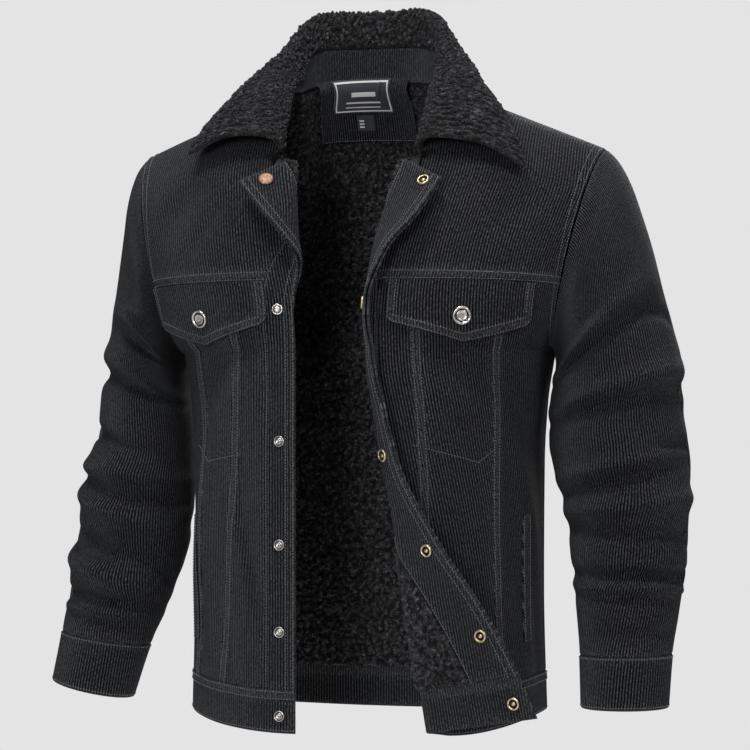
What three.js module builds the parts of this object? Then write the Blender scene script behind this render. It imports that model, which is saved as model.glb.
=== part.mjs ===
// A men's corduroy trucker jacket with a sherpa fleece lining, hanging open as if worn.
// Millimetres, +Z up, chest towards -Y, the wearer's left towards +X.
// The origin lies level with the tops of the shoulders, on the body's own axis.
// Each sheet of cloth is a surface worked out from the tables below.
// Every cut piece is a wall between two offsets from its sheet.
import * as THREE from 'three';

// Driving sizes
const GAP = 0.4;                 // clearance between pieces that are sewn together
const SHELL = 2.0;               // corduroy wall
const FLEECE = 5.0;              // sherpa lining, backing and pile
const COLLAR_PILE = 6.5;         // sherpa pile on the collar
const BAND = 4.2;                // folded hem band and cuff, two layers of corduroy
const UNDERARM_Z = -290;         // level of the underarm point
const HEM_Z = -684;              // level of the hem below the chest and the back
const HEM_LIFT = 14;             // how much the hem rides up at the side seams
const CHEST_FRONT_Y = 5;         // depth at which the side seams stand
const NECK_END = 0.36;           // level at which the collar ends on the front
const YOKE = 0.775;              // level of the front yoke seam
const BACK_YOKE = 0.6;           // level of the back yoke seam
const HEM_BAND = 44;             // height of the hem band
const PLACKET = 34;              // width of the button stand
const FACING = 54;               // width of the corduroy facing inside it
const FLAP_WIDTH = 152;
const FLAP_SIDE = 45;            // height of a pocket flap at its ends
const FLAP_POINT = 64;           // height of a pocket flap at its point
const FLAP_WALL = 2.6;
const FLAP_FOOT = 1.8;           // how far the flaps stand off the panels
const FLAP_STRETCH = 1.15;       // the rows stand closer above the underarm than below it
const WELT_FOOT = 0.5;
const ARMHOLE_EASE = 1.6;        // how far down the sleeve its cloth starts
const BUTTON_DROP = 44;          // how far the flap's button hangs below its top
const SOCKET_LIFT = [0.1, 0.3, 0.3, 0.2, 0.1, 0.1];   // sockets on the turned edge stand off its bend
const WELT_WIDTH = 15;
const WELT_FROM_SIDE = { right: 84, left: 62 };   // hand pockets' distances from the side seams
const WELT_LEVELS = [1.44, 1.79];
const LINING_EASE = 1.6;         // clearance between the corduroy and the lining
const FACING_EASE = 1.5;         // clearance between the corduroy and the facing
const LABEL_EASE = 1.3;          // clearance between the neck patch and its labels
const PATCH_LIFT = 1.7;          // how far the neck patch stands in front of the lining
const LABEL_WALL = 1.0;
const LINING_TOP = 0.012;        // level at which the lining starts below the shoulder seams
const BAND_LIFT = 0.2;           // how far the hem band stands out from the panels above it
const CUFF_LIFT = 0.8;
const PANEL_INSETS = [0.45, 0.5];   // how far a front panel is drawn back at its two seams
const SHOULDER_TILT = { x: 0.38, z: 0.92 };   // direction in which all the shoulder seams face
const NECK_SHARE = 0.45;         // share of the collar, from its middle, that goes round the neck
const STAND_SHARE = 0.24;        // share of the collar's width that shows corduroy inside the neck
const NECK_TAPE = 7;             // the collar stand runs on this far below the neck seam at the back
const NECK_TAPE_IN = 3;          // leans this far into the neck
const NECK_TAPE_LEAST = 0.14;    // share of it that is left along the fronts
const NECK_TAPE_SHARE = 0.06;    // the tape takes this share of the collar's width for it
const PATCH_FRONT = 5;           // the neck patch starts this far in front of the neck seam
const PATCH_HANG = 0.1;          // level from which the neck patch lies on the lining
const PATCH_SWAY = 6;            // how far it clears the top of the lining on the way
const PATCH_LEVELS = [0.014, 0.035, 0.065, 0.12, 0.235];
const LABEL_LEVELS = [0.024, 0.05, 0.08, 0.118];
const TAB = { left: -36, right: -14, top: 0.13, bottom: 0.19 };   // the size label
const ARMHOLE = {
  right: { x: 224, y: 5, z: -181, lean: 10.9, high: 111, deep: 90 },
  left: { x: 230, y: 5, z: -182.5, lean: 14.5, high: 111, deep: 90 },
};
// Turned metal: radius and height
const BUTTON_PROFILE = [[0, 0], [9.6, 0], [9.6, 1.2], [8, 2.2], [5.4, 1.2], [0, 1.8]];
const STUD_PROFILE = [[0, 0], [5.6, 0], [5.6, 0.8], [2.8, 1.4], [2.8, 3], [0, 3.2]];
const SOCKET_PROFILE = [[0, 0], [6.6, 0], [6.6, 2.2], [4.2, 2.2], [3.8, 0.8], [0, 0.8]];
const CAP_PROFILE = [[0, 0], [8, 0], [7.6, 1], [0, 2]];
// The left front turns out, so its sockets hang lower than the studs that they close on
const SNAP_LEVELS = {
  right: [0.4, 0.865, 1.24, 1.51, 1.737, 1.955],
  left: [0.4, 0.845, 1.28, 1.54, 1.777, 1.955],
};
const CAP_INSET = 25;            // the top snap's distance from the front edge

const rad = THREE.MathUtils.degToRad;
const lerp = THREE.MathUtils.lerp;
const clamp = THREE.MathUtils.clamp;
const vec = (x, y, z) => new THREE.Vector3(x, y, z);
const smooth = (from, to, x) => THREE.MathUtils.smoothstep(x, from, to);
const range = (from, to, count) => Array.from({ length: count + 1 }, (_, i) => lerp(from, to, i / count));

// Looks up a row of a table by its first column, along smooth curves that never overshoot
function table(columns, rows) {
  const keys = rows.map((row) => row[0]);
  const slopes = columns.slice(1).map((_, c) => {
    const steps = keys.slice(1).map((key, i) => (rows[i + 1][c + 1] - rows[i][c + 1]) / (key - keys[i]));
    return keys.map((_, i) => {
      if (i === 0 || i === keys.length - 1) return steps[Math.min(i, steps.length - 1)];
      const [a, b] = [steps[i - 1], steps[i]];
      return a * b <= 0 ? 0 : (2 * a * b) / (a + b);
    });
  });
  return (key) => {
    const k = clamp(key, keys[0], keys[keys.length - 1]);
    let i = 0;
    while (i < keys.length - 2 && k > keys[i + 1]) i += 1;
    const span = keys[i + 1] - keys[i];
    const t = (k - keys[i]) / span;
    const blend = (c) => rows[i][c + 1] * (2 * t ** 3 - 3 * t ** 2 + 1)
      + rows[i + 1][c + 1] * (3 * t ** 2 - 2 * t ** 3)
      + slopes[c][i] * span * (t ** 3 - 2 * t ** 2 + t)
      + slopes[c][i + 1] * span * (t ** 3 - t ** 2);
    return Object.fromEntries(columns.slice(1).map((name, c) => [name, blend(c)]));
  };
}

function named(columns, rows) {
  return rows.map((row) => Object.fromEntries(columns.map((name, i) => [name, row[i]])));
}

// Levels count 0 along the shoulder seams, 1 at the underarm and 2 at the hem
// Half width of the body below the underarm, and how far its back stands behind the axis
const body = table(['level', 'half', 'back'], [
  [1, 202, 133],
  [1.13, 194, 131],
  [1.3, 190, 130],
  [1.65, 189, 129],
  [2, 192, 131],
]);

// Angle round the armhole that each level meets; 0 is the shoulder point and 180 the underarm
const armholeAngle = table(['level', 'angle'], [
  [0, 0],
  [0.36, 55],
  [0.5, 75],
  [0.65, 94],
  [0.74, 107],
  [0.82, 119.7],
  [0.9, 136.5],
  [0.95, 155],
  [1, 180],
]);

// The line each front turns about, from the neck point down to the hem, in the wearer's left half
const ROLL_COLUMNS = ['level', 'x', 'y', 'z'];
const rollRight = table(ROLL_COLUMNS, [
  [0, 78, 8, 0],
  [0.12, 78, -25, -12],
  [0.24, 74, -62, -44],
  [0.36, 73, -95, -82],
  [0.5, 66, -122, -130],
  [0.65, 58, -140, -180],
  [0.74, 53, -146, -208],
  [0.82, 47, -150, -235],
  [0.9, 44, -152, -260],
  [1, 43, -152, -290],
  [1.5, 43, -151, -487],
  [2, 43, -150, -684],
]);
const rollLeft = table(ROLL_COLUMNS, [
  [0, 78, 8, 0],
  [0.12, 78, -25, -12],
  [0.24, 77, -62, -44],
  [0.36, 77, -95, -83],
  [0.5, 69, -122, -130],
  [0.65, 58, -141, -180],
  [0.74, 53, -147, -208],
  [0.82, 50, -151, -235],
  [0.9, 49, -153, -260],
  [1, 49, -154, -290],
  [1.2, 61, -153, -369],
  [1.5, 83, -147, -487],
  [1.75, 97, -139, -586],
  [2, 111, -130, -684],
]);

// How the cloth past that line turns out: its length, the radius, the turn, and how it climbs outwards
const TURN_COLUMNS = ['level', 'length', 'radius', 'turn', 'climb'];
const turnRight = table(TURN_COLUMNS, [
  [0.36, 80, 12, 160, -0.45],
  [0.5, 60, 13, 150, -0.36],
  [0.65, 32, 12, 125, -0.2],
  [0.74, 14, 12, 65, -0.1],
  [0.82, 3, 12, 15, 0],
  [0.9, 0, 12, 0, 0],
  [2, 0, 12, 0, 0],
]);
const turnLeft = table(TURN_COLUMNS, [
  [0.36, 78, 12, 160, -0.45],
  [0.5, 70, 12, 150, -0.4],
  [0.65, 49, 11, 138, -0.25],
  [0.74, 43, 10, 125, -0.15],
  [0.82, 40, 10, 115, -0.08],
  [1, 38, 10, 116, 0],
  [1.15, 42, 11, 128, 0.04],
  [1.3, 47, 12, 138, 0.1],
  [1.5, 73, 13, 152, 0.16],
  [1.7, 112, 14, 160, 0.19],
  [1.85, 135, 14, 162, 0.19],
  [2, 152, 14, 163, 0.18],
]);

// Soft folds in the body: where they lie, how they lean, how far they reach and how deep they are
const FOLD_COLUMNS = ['at', 'level', 'lean', 'long', 'wide', 'depth'];
const foldsRight = named(FOLD_COLUMNS, [
  [125, 1.16, 20, 70, 18, -6],
  [60, 1.42, -10, 90, 13, -4],
  [95, 1.7, -12, 80, 15, -4],
  [150, 1.55, 12, 100, 18, 4],
  [118, 0.5, 30, 60, 20, -4],
]);
const foldsLeft = named(FOLD_COLUMNS, [
  [160, 1.16, 24, 70, 18, -6],
  [120, 1.5, -8, 90, 16, -4],
  [180, 1.62, 10, 110, 18, 4],
  [120, 0.5, -30, 60, 20, -4],
]);
const foldsBack = named(FOLD_COLUMNS, [
  [-100, 1.22, 24, 110, 20, -7],
  [100, 1.26, -24, 110, 20, -7],
  [-30, 1.65, 6, 110, 24, 4],
  [60, 1.72, -8, 100, 20, -5],
  [-140, 1.7, 10, 90, 20, -5],
  [150, 0.8, 18, 70, 18, -4],
  [-150, 0.8, -18, 70, 18, -4],
]);
const LEVEL_HEIGHT = UNDERARM_Z - HEM_Z;
const levelOf = (length) => length / LEVEL_HEIGHT;
const BAND_TOP = 2 - levelOf(HEM_BAND);

// Sleeves: distance down the sleeve, its outer and inner edge seen from the front, and its depth
const ARM_COLUMNS = ['down', 'outX', 'outZ', 'inX', 'inZ', 'y', 'deep'];
const armRight = table(ARM_COLUMNS, [
  [0, 245, -72, 203, -290, 5, 90],
  [20, 255, -86, 204, -294, 5, 92],
  [45, 263, -112, 205, -299, 5, 92],
  [75, 268, -146, 205.5, -306, 5, 90],
  [110, 275, -190, 205, -316, 5, 86],
  [150, 283, -238, 204, -332, 4, 80],
  [190, 291, -285, 201, -352, 2, 76],
  [230, 298, -330, 199, -378, 0, 73],
  [265, 301, -368, 198, -404, -3, 71],
  [300, 309, -400, 197, -428, -7, 69],
  [335, 316, -434, 196, -455, -11, 66],
  [370, 321, -470, 198, -487, -15, 62],
  [400, 326, -502, 204, -516, -19, 58],
  [430, 329, -535, 214, -548, -23, 53],
  [460, 332, -565, 226, -577, -27, 48],
  [490, 335, -591, 238, -606, -31, 45],
  [550, 344, -644, 256, -663, -36, 43],
]);
const armLeft = table(ARM_COLUMNS, [
  [0, 257.8, -75, 202.2, -290, 5, 90],
  [20, 270, -88, 203.5, -294, 5, 93],
  [45, 283, -112, 204.5, -299, 5, 94],
  [75, 294, -143, 205, -305, 5, 92],
  [110, 306, -182, 204, -314, 5, 88],
  [150, 317, -226, 201, -326, 4, 82],
  [190, 328, -266, 198.5, -342, 2, 78],
  [230, 337, -306, 197, -362, 0, 75],
  [265, 337, -342, 198, -384, -3, 72],
  [300, 343, -378, 202, -408, -7, 69],
  [335, 347, -412, 209, -434, -11, 66],
  [370, 347, -446, 216, -462, -15, 62],
  [400, 345, -478, 221, -490, -19, 58],
  [430, 345, -508, 224, -518, -23, 54],
  [460, 340, -538, 228, -546, -27, 50],
  [490, 336, -566, 231, -573, -30, 47],
  [530, 330, -605, 234, -607, -34, 45],
  [590, 326, -660, 236, -661, -38, 43],
]);

// Sleeve folds: distance down, angle round (180 inside, 270 front, 360 outside),
// half span, slope, width, depth
const CREASE_COLUMNS = ['down', 'angle', 'span', 'slope', 'wide', 'depth'];
const creasesRight = named(CREASE_COLUMNS, [
  [122, 275, 34, 0.5, 10, 6.8],
  [142, 272, 37, 0.5, 11, -9.5],
  [182, 285, 69, 0.2, 11, 5.4],
  [201, 285, 75, 0.2, 11, -9.5],
  [272, 315, 52, 0, 9, -8.1],
  [306, 270, 92, 0.06, 11, 8.1],
  [333, 212, 29, 0, 10, -9.5],
  [332, 290, 63, -0.15, 10, -5.4],
  [353, 285, 69, -0.23, 10, 8.1],
  [393, 290, 52, -0.1, 16, -12.2],
  [410, 215, 32, -0.45, 8, -9.5],
  [418, 280, 69, -0.2, 10, 9.5],
  [445, 275, 92, 0, 8, -9.5],
  [457, 275, 80, 0, 8, 5.4],
  [467, 275, 80, -0.1, 7, -4.1],
  [230, 100, 69, 0.2, 14, -8.1],
  [262, 90, 80, -0.1, 14, 6.8],
  [350, 90, 80, 0.1, 14, -8.1],
  [420, 90, 80, 0, 13, -6.8],
]);
const creasesLeft = named(CREASE_COLUMNS, [
  [136, 258, 69, 0, 14, 8.1],
  [158, 270, 57, 0, 12, -8.1],
  [166, 330, 29, 0.5, 9, -6.8],
  [226, 275, 86, 0.12, 12, 8.1],
  [249, 275, 86, 0.1, 11, -8.1],
  [310, 330, 34, 0, 9, -6.8],
  [319, 262, 69, -0.1, 10, 8.1],
  [338, 262, 69, -0.1, 10, -8.1],
  [368, 275, 86, 0, 10, 8.1],
  [381, 212, 29, 0, 9, -9.5],
  [397, 270, 92, 0.1, 8, -6.8],
  [442, 270, 98, 0.08, 8, -10.8],
  [454, 270, 92, 0.08, 8, 6.8],
  [462, 265, 86, 0.08, 7, -5.4],
  [506, 300, 57, 0, 8, -4.1],
  [236, 95, 69, -0.2, 14, -8.1],
  [270, 90, 80, 0.1, 14, 6.8],
  [360, 90, 80, -0.1, 14, -8.1],
  [430, 90, 80, 0, 13, -6.8],
]);
const ARMS = {
  right: { side: -1, arm: armRight, creases: creasesRight, cuff: 490, end: 550 },
  left: { side: 1, arm: armLeft, creases: creasesLeft, cuff: 530, end: 590 },
};

// Collar: share of the way from the centre back to its front end, its roll line and its outer edge
const COLLAR_COLUMNS = ['share', 'rollX', 'rollY', 'rollZ', 'edgeX', 'edgeY', 'edgeZ'];
const collarRight = table(COLLAR_COLUMNS, [
  [0, 18, 78, 88, 20, 112, 28],
  [0.2, 62, 68, 88, 72, 104, 26],
  [0.33, 84, 46, 72, 98, 80, 16],
  [0.45, 91, 18, 47, 114, 42, 2],
  [0.6, 96, -20, 16, 140, -8, -18],
  [0.8, 92, -68, -24, 162, -58, -48],
  [1, 82, -110, -66, 168, -104, -80],
]);
const collarLeft = table(COLLAR_COLUMNS, [
  [0, -18, 78, 88, -20, 112, 28],
  [0.2, 40, 68, 88, 46, 104, 26],
  [0.33, 66, 46, 75, 78, 82, 20],
  [0.45, 80, 16, 50, 98, 44, 6],
  [0.6, 91, -20, 16, 124, -4, -12],
  [0.8, 92, -68, -26, 160, -54, -48],
  [1, 88, -110, -70, 186, -102, -102],
]);
const COLLAR_BULGE = 9;          // how far the fall stands up between its roll and its edge
const COLLAR_LIFT = 2.4;         // how far the collar starts above the neck seam
const NECK_BACK = { x: -18, y: 60, z: 16 };   // the neck seam's middle, from between the neck points

// Pocket flaps: distance of each flap's inner end from the roll line
const FLAP_START = { right: 27, left: 6 };
const FLAP_TOP = { right: 1, left: 0.6 };      // how far each flap's top lies below the yoke seam
// Seams of each front, as distances from the roll line
const innerSeamRight = table(['level', 'at'], [[0.74, 69], [1.2, 77], [2, 102]]);
const outerSeamRight = table(['level', 'at'], [[0.74, 128], [1.2, 132], [2, 148]]);
const innerSeamLeft = table(['level', 'at'], [[0.74, 40], [1, 40], [1.3, 28], [1.5, 16], [1.7, 14], [2, 14]]);
const outerSeamLeft = table(['level', 'at'], [[0.74, 118], [1, 118], [1.5, 86], [2, 60]]);
const backSeam = table(['level', 'at'], [[0.6, 104], [1.3, 86], [2, 76]]);

// Rows that every piece of the body shares, so that neighbouring walls meet corner to corner
const UPPER_ROWS = [0, 0.12, 0.24, 0.357, 0.36, 0.48, 0.6, 0.73, YOKE, 0.83, 0.9, 0.95, 1];
const ROWS = [...UPPER_ROWS, ...range(1, BAND_TOP, 9).slice(1), 2];
const LAPEL_ROWS = [0.42, 0.54, 0.67];        // the fronts have more, where they turn over sharply
// Shares of the back seams' distance at which the centre back has columns; the neck patch ends on two
const BACK_SHARES = [-0.85, -0.65, -0.43, -0.14, 0.14, 0.38, 0.7];
// Shares of the way from the facing's edge to the inner seam at which the centre panel has columns
const CENTRE_SHARES = { right: [0.28], left: [0.25, 0.45, 0.58, 0.7, 0.84] };

const COLOURS = {
  corduroy: { color: '#1f1f22', roughness: 0.92, metalness: 0 },
  fleece: { color: '#3a3b40', roughness: 1, metalness: 0 },
  woven: { color: '#26262a', roughness: 0.8, metalness: 0 },
  copper: { color: '#8d6a55', roughness: 0.35, metalness: 1 },
  steel: { color: '#b9bbbe', roughness: 0.3, metalness: 1 },
  brass: { color: '#b28a5a', roughness: 0.35, metalness: 1 },
};

const garment = new THREE.Group();
garment.name = 'sherpa_lined_jacket';

function add(name, geometry, colour) {
  const mesh = new THREE.Mesh(geometry, new THREE.MeshStandardMaterial(COLOURS[colour]));
  mesh.name = name;
  garment.add(mesh);
}

// A surface: a place for every pair of numbers, and its normal from small steps along both
class Cloth {
  constructor(place, out, steps, bend = (normal) => normal) {
    Object.assign(this, { place, out, steps, bend });
  }

  normal(u, v) {
    const { place, steps } = this;
    const across = place(u + steps[0], v).sub(place(u - steps[0], v));
    const down = place(u, v + steps[1]).sub(place(u, v - steps[1]));
    return this.bend(across.cross(down).multiplyScalar(this.out).normalize(), u, v);
  }

  at(u, v, offset = 0) {
    return this.place(u, v).addScaledVector(this.normal(u, v), offset);
  }
}

// A point on the armhole; half is -1 on its front edge and 1 on its back
function armholePoint(side, half, angle) {
  const hole = side < 0 ? ARMHOLE.right : ARMHOLE.left;
  const up = hole.high * Math.cos(rad(angle));
  return vec(
    side * (hole.x + up * Math.sin(rad(hole.lean))),
    hole.y + half * hole.deep * Math.sin(rad(angle)),
    hole.z + up * Math.cos(rad(hole.lean)),
  );
}

function foldDepth(folds, at, level) {
  return folds.reduce((sum, fold) => {
    const down = (level - fold.level) * LEVEL_HEIGHT;
    const across = at - fold.at;
    const [c, s] = [Math.cos(rad(fold.lean)), Math.sin(rad(fold.lean))];
    const [along, off] = [down * c + across * s, across * c - down * s];
    return sum + fold.depth * Math.exp(-((along / fold.long) ** 2) - (off / fold.wide) ** 2);
  }, 0);
}

const rowZ = (level, share) => lerp(UNDERARM_Z, HEM_Z, level - 1) + HEM_LIFT * (level - 1) ** 2 * share;

// Four edges filled in smoothly: top and bottom run across, start and end run down.
// What the start and end add dies away from them by the given power
function fill(top, bottom, start, end, across, down, power) {
  const between = top(across).lerp(bottom(across), down);
  const atStart = start(down).sub(top(0).lerp(bottom(0), down));
  const atEnd = end(down).sub(top(1).lerp(bottom(1), down));
  return between.addScaledVector(atStart, (1 - across) ** power).addScaledVector(atEnd, across ** power);
}

function running(points, from) {
  const sums = [from];
  for (let i = 1; i < points.length; i += 1) sums.push(sums[i - 1] + points[i].distanceTo(points[i - 1]));
  return sums;
}

function along(keys, points, key) {
  const k = clamp(key, keys[0], keys[keys.length - 1]);
  let [low, high] = [0, keys.length - 1];
  while (high - low > 1) {
    const middle = (low + high) >> 1;
    if (keys[middle] <= k) low = middle;
    else high = middle;
  }
  return points[low].clone().lerp(points[high], (k - keys[low]) / (keys[high] - keys[low]));
}

// Rows of points joined into one surface, read by distance along the row and by level
function rowsToCloth(levels, rows, out) {
  const spot = (level) => {
    const l = clamp(level, levels[0], levels[levels.length - 1]);
    const k = Math.min(Math.floor(((l - levels[0]) / (levels[1] - levels[0]))), levels.length - 2);
    return [rows[k], rows[k + 1], (l - levels[k]) / (levels[k + 1] - levels[k])];
  };
  const place = (key, level) => {
    const [above, below, t] = spot(level);
    return along(above.keys, above.points, key).lerp(along(below.keys, below.points, key), t);
  };
  const ends = (which) => (level) => {
    const [above, below, t] = spot(level);
    return lerp(above.keys.at(which), below.keys.at(which), t);
  };
  // Both sheets lean the same way along the shoulder seam, so that their walls meet there
  const bend = (normal, key, level) => {
    const seam = vec(SHOULDER_TILT.x * Math.sign(place(key, level).x), 0, SHOULDER_TILT.z);
    return normal.lerp(seam, 1 - smooth(0, 0.12, level)).normalize();
  };
  return Object.assign(new Cloth(place, out, [1.5, 0.004], bend), { first: ends(0), last: ends(-1) });
}

// One front, from its front edge (negative distances lie past the roll line) to the armhole or side seam
function frontSheet(side, roll, turned, folds) {
  const levels = range(0, 2, 120);
  const onRoll = (level) => {
    const { x, y, z } = roll(level);
    return vec(side * x, y, z);
  };
  const shoulder = (t) => onRoll(0).lerp(armholePoint(side, -1, 0), t);
  const quarter = (level, t) => {
    const [from, turn] = [onRoll(level), (t * Math.PI) / 2];
    const x = lerp(from.x, side * body(level).half, Math.sin(turn));
    return vec(x, lerp(CHEST_FRONT_Y, from.y, Math.cos(turn)), rowZ(level, Math.sin(turn) ** 2));
  };
  const armhole = (w) => armholePoint(side, -1, armholeAngle(w).angle);
  const rows = levels.map((level) => {
    const inner = range(0, 1, 48).map((t) => (level >= 1
      ? quarter(level, t)
      : fill(shoulder, (s) => quarter(1, s), onRoll, armhole, t, level, 1)));
    const strip = turned(level);
    const bent = [];
    if (strip.length > 0.05) {
      const onward = inner[0].clone().sub(inner[1]).setZ(0).normalize();
      const outward = vec(0, -1, 0).addScaledVector(onward, onward.y).normalize();
      const place = inner[0].clone();
      const steps = 24;
      for (const share of range(0.5 / steps, 1 - 0.5 / steps, steps - 1)) {
        const angle = Math.min((share * strip.length) / strip.radius, rad(strip.turn));
        place.addScaledVector(onward, (Math.cos(angle) * strip.length) / steps);
        place.addScaledVector(outward, (Math.sin(angle) * strip.length) / steps);
        place.z += (strip.climb * strip.length) / steps;
        bent.unshift(place.clone());
      }
    }
    const points = [...bent, ...inner];
    const keys = running(points, 0).map((key, _, all) => key - all[bent.length]);
    points.forEach((point, m) => {
      const fade = smooth(4, 40, keys[m]) * smooth(0, 40, keys.at(-1) - keys[m]);
      const depth = foldDepth(folds, keys[m], level) * fade;
      point.add(vec(side * 0.5 * depth, -0.85 * depth, 0));
    });
    return { points, keys };
  });
  return rowsToCloth(levels, rows, -side);
}

// The back, one sheet from armhole to armhole; distances count from the centre towards the wearer's left
function backSheet() {
  const levels = range(0, 2, 120);
  const neck = range(-90, 90, 24).map((turn) => {
    const [s, c] = [Math.sin(rad(turn)), Math.cos(rad(turn))];
    return vec(rollLeft(0).x * s + NECK_BACK.x * c * c, rollLeft(0).y + NECK_BACK.y * c, NECK_BACK.z * c);
  });
  const crest = [armholePoint(-1, 1, 0), ...neck, armholePoint(1, 1, 0)];
  const crestKeys = running(crest, 0);
  const top = (t) => along(crestKeys, crest, t * crestKeys.at(-1));
  const half = (level, t) => {
    const turn = rad(lerp(-90, 90, t));
    const { half: wide, back } = body(level);
    const z = rowZ(level, Math.sin(turn) ** 2);
    return vec(wide * Math.sin(turn), lerp(CHEST_FRONT_Y, back, Math.cos(turn)), z);
  };
  const edge = (side) => (w) => armholePoint(side, 1, armholeAngle(w).angle);
  const rows = levels.map((level) => {
    const points = range(0, 1, 96).map((t) => (level >= 1
      ? half(level, t)
      : fill(top, (s) => half(1, s), edge(-1), edge(1), t, level, 2.5)));
    const keys = running(points, 0).map((key, _, all) => key - all.at(-1) / 2);
    points.forEach((point, m) => {
      const fade = smooth(0, 40, keys.at(-1) - Math.abs(keys[m])) * smooth(0, 0.2, level);
      point.y += foldDepth(foldsBack, keys[m], level) * fade;
    });
    return { points, keys };
  });
  return rowsToCloth(levels, rows, 1);
}

// A sleeve, read by the angle round it and the distance down it
function sleeveTube({ side, arm, creases, cuff }) {
  const place = (angle, down) => {
    const r = arm(down);
    const [c, s] = [Math.cos(rad(angle)), Math.sin(rad(angle))];
    const turn = THREE.MathUtils.euclideanModulo(angle, 360);
    const depth = creases.reduce((sum, crease) => {
      const round = turn - crease.angle;
      const off = down - crease.down - crease.slope * round;
      return sum + crease.depth * Math.exp(-((round / crease.span) ** 2) - (off / crease.wide) ** 2);
    }, 0) * smooth(0, 30, down) * smooth(0, 14, cuff - down) * smooth(0, 25, Math.abs(turn - 180) + 18);
    const reach = vec((r.outX - r.inX) / 2, 0, (r.outZ - r.inZ) / 2);
    const swell = depth * (c < 0 ? 0.35 : 1);
    return vec(
      side * ((r.outX + r.inX) / 2 + reach.x * c * (1 + swell / reach.length())),
      r.y + (r.deep + depth) * s,
      (r.outZ + r.inZ) / 2 + reach.z * c,
    );
  };
  return new Cloth(place, -side, [2, 1.5]);
}

// The collar, read by how far round it (negative on the wearer's right) and by the share of its width
function collarSheet() {
  const seam = (round) => {
    const side = Math.sign(round) || 1;
    const share = Math.abs(round);
    if (share <= NECK_SHARE) {
      const turn = (share / NECK_SHARE) * 90;
      const [s, c] = [Math.sin(rad(turn)), Math.cos(rad(turn))];
      const x = side * rollLeft(0).x * s + NECK_BACK.x * c * c;
      return vec(x, rollLeft(0).y + NECK_BACK.y * c, NECK_BACK.z * c + COLLAR_LIFT);
    }
    const level = ((share - NECK_SHARE) / (1 - NECK_SHARE)) * NECK_END;
    const { x, y, z } = (side > 0 ? rollLeft : rollRight)(level);
    return vec(side * x, y, z + COLLAR_LIFT);
  };
  const place = (round, share) => {
    const side = Math.sign(round) || 1;
    const r = (side > 0 ? collarLeft : collarRight)(Math.abs(round));
    const foot = seam(clamp(round, -1, 1));
    const roll = vec(side * r.rollX, r.rollY, r.rollZ);
    const edge = vec(side * r.edgeX, r.edgeY, r.edgeZ);
    const away = edge.clone().sub(foot).setZ(0).normalize();
    const stand = foot.clone().lerp(roll, 0.55).addScaledVector(away, -3);
    const fall = roll.clone().lerp(edge, 0.5).addScaledVector(away, COLLAR_BULGE * 0.7);
    fall.z += COLLAR_BULGE;
    const path = [foot, stand, roll, fall, edge];
    const point = new THREE.CatmullRomCurve3(path, false, 'centripetal').getPoint(clamp(share, 0, 1));
    const fade = Math.max(1 - smooth(NECK_SHARE - 0.15, NECK_SHARE + 0.05, Math.abs(round)), NECK_TAPE_LEAST);
    const below = clamp(-share / NECK_TAPE_SHARE, 0, 1.2) * fade;
    return point.addScaledVector(away, -NECK_TAPE_IN * below).setZ(point.z - NECK_TAPE * below);
  };
  return new Cloth(place, 1, [0.01, 0.01]);
}

// A wall between two offsets of a cloth; spot gives the cloth's two numbers for each corner of the net
function wall(cloth, spot, counts, outer, inner, closed = false) {
  const [nu, nv] = counts;
  const columns = closed ? nu : nu + 1;
  const at = [];
  for (const offset of [outer, inner]) {
    for (let j = 0; j <= nv; j += 1) {
      for (let i = 0; i < columns; i += 1) {
        const [u, v] = spot(i, j);
        at.push(...cloth.at(u, v, offset).toArray());
      }
    }
  }
  const layer = columns * (nv + 1);
  const id = (i, j, face) => face * layer + j * columns + (closed ? i % nu : i);
  const quads = [];
  for (let j = 0; j < nv; j += 1) {
    for (let i = 0; i < nu; i += 1) {
      quads.push([id(i, j, 0), id(i + 1, j, 0), id(i + 1, j + 1, 0), id(i, j + 1, 0)]);
      quads.push([id(i, j, 1), id(i, j + 1, 1), id(i + 1, j + 1, 1), id(i + 1, j, 1)]);
    }
  }
  for (let i = 0; i < nu; i += 1) {
    quads.push([id(i, 0, 1), id(i + 1, 0, 1), id(i + 1, 0, 0), id(i, 0, 0)]);
    quads.push([id(i, nv, 0), id(i + 1, nv, 0), id(i + 1, nv, 1), id(i, nv, 1)]);
  }
  for (let j = 0; j < nv && !closed; j += 1) {
    quads.push([id(0, j, 0), id(0, j + 1, 0), id(0, j + 1, 1), id(0, j, 1)]);
    quads.push([id(nu, j, 1), id(nu, j + 1, 1), id(nu, j + 1, 0), id(nu, j, 0)]);
  }
  const flip = cloth.out < 0;
  const index = quads.flatMap(([a, b, c, d]) => (flip ? [a, c, b, a, d, c] : [a, b, c, a, c, d]));
  const geometry = new THREE.BufferGeometry();
  geometry.setAttribute('position', new THREE.Float32BufferAttribute(at, 3));
  geometry.setIndex(index);
  return geometry;
}

// A piece of a body sheet: a block of its net, drawn back from its own edges by a seam's half gap
function block(cloth, columns, [from, to], [top, bottom], outer, inner, insets = [half, half]) {
  const rows = (cloth === sheets.back ? ROWS : [...ROWS, ...LAPEL_ROWS].sort((a, b) => a - b));
  const levels = [
    top + halfLevel,
    ...rows.filter((row) => row > top + 0.001 && row < bottom - 0.001),
    bottom - halfLevel,
  ];
  const spot = (i, j) => {
    const keys = columns(levels[j]);
    const inset = (i === 0 ? insets[0] : 0) - (i === to - from ? insets[1] : 0);
    return [keys[from + i] + inset, levels[j]];
  };
  return wall(cloth, spot, [to - from, levels.length - 1], outer, inner);
}

const half = GAP / 2;
const halfLevel = levelOf(half);
const liningOut = -SHELL - LINING_EASE;
const liningIn = liningOut - FLEECE;
const split = (from, to, count) => range(from, to, count).slice(1);
const sheets = {
  right: frontSheet(-1, rollRight, turnRight, foldsRight),
  left: frontSheet(1, rollLeft, turnLeft, foldsLeft),
  back: backSheet(),
};

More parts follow.
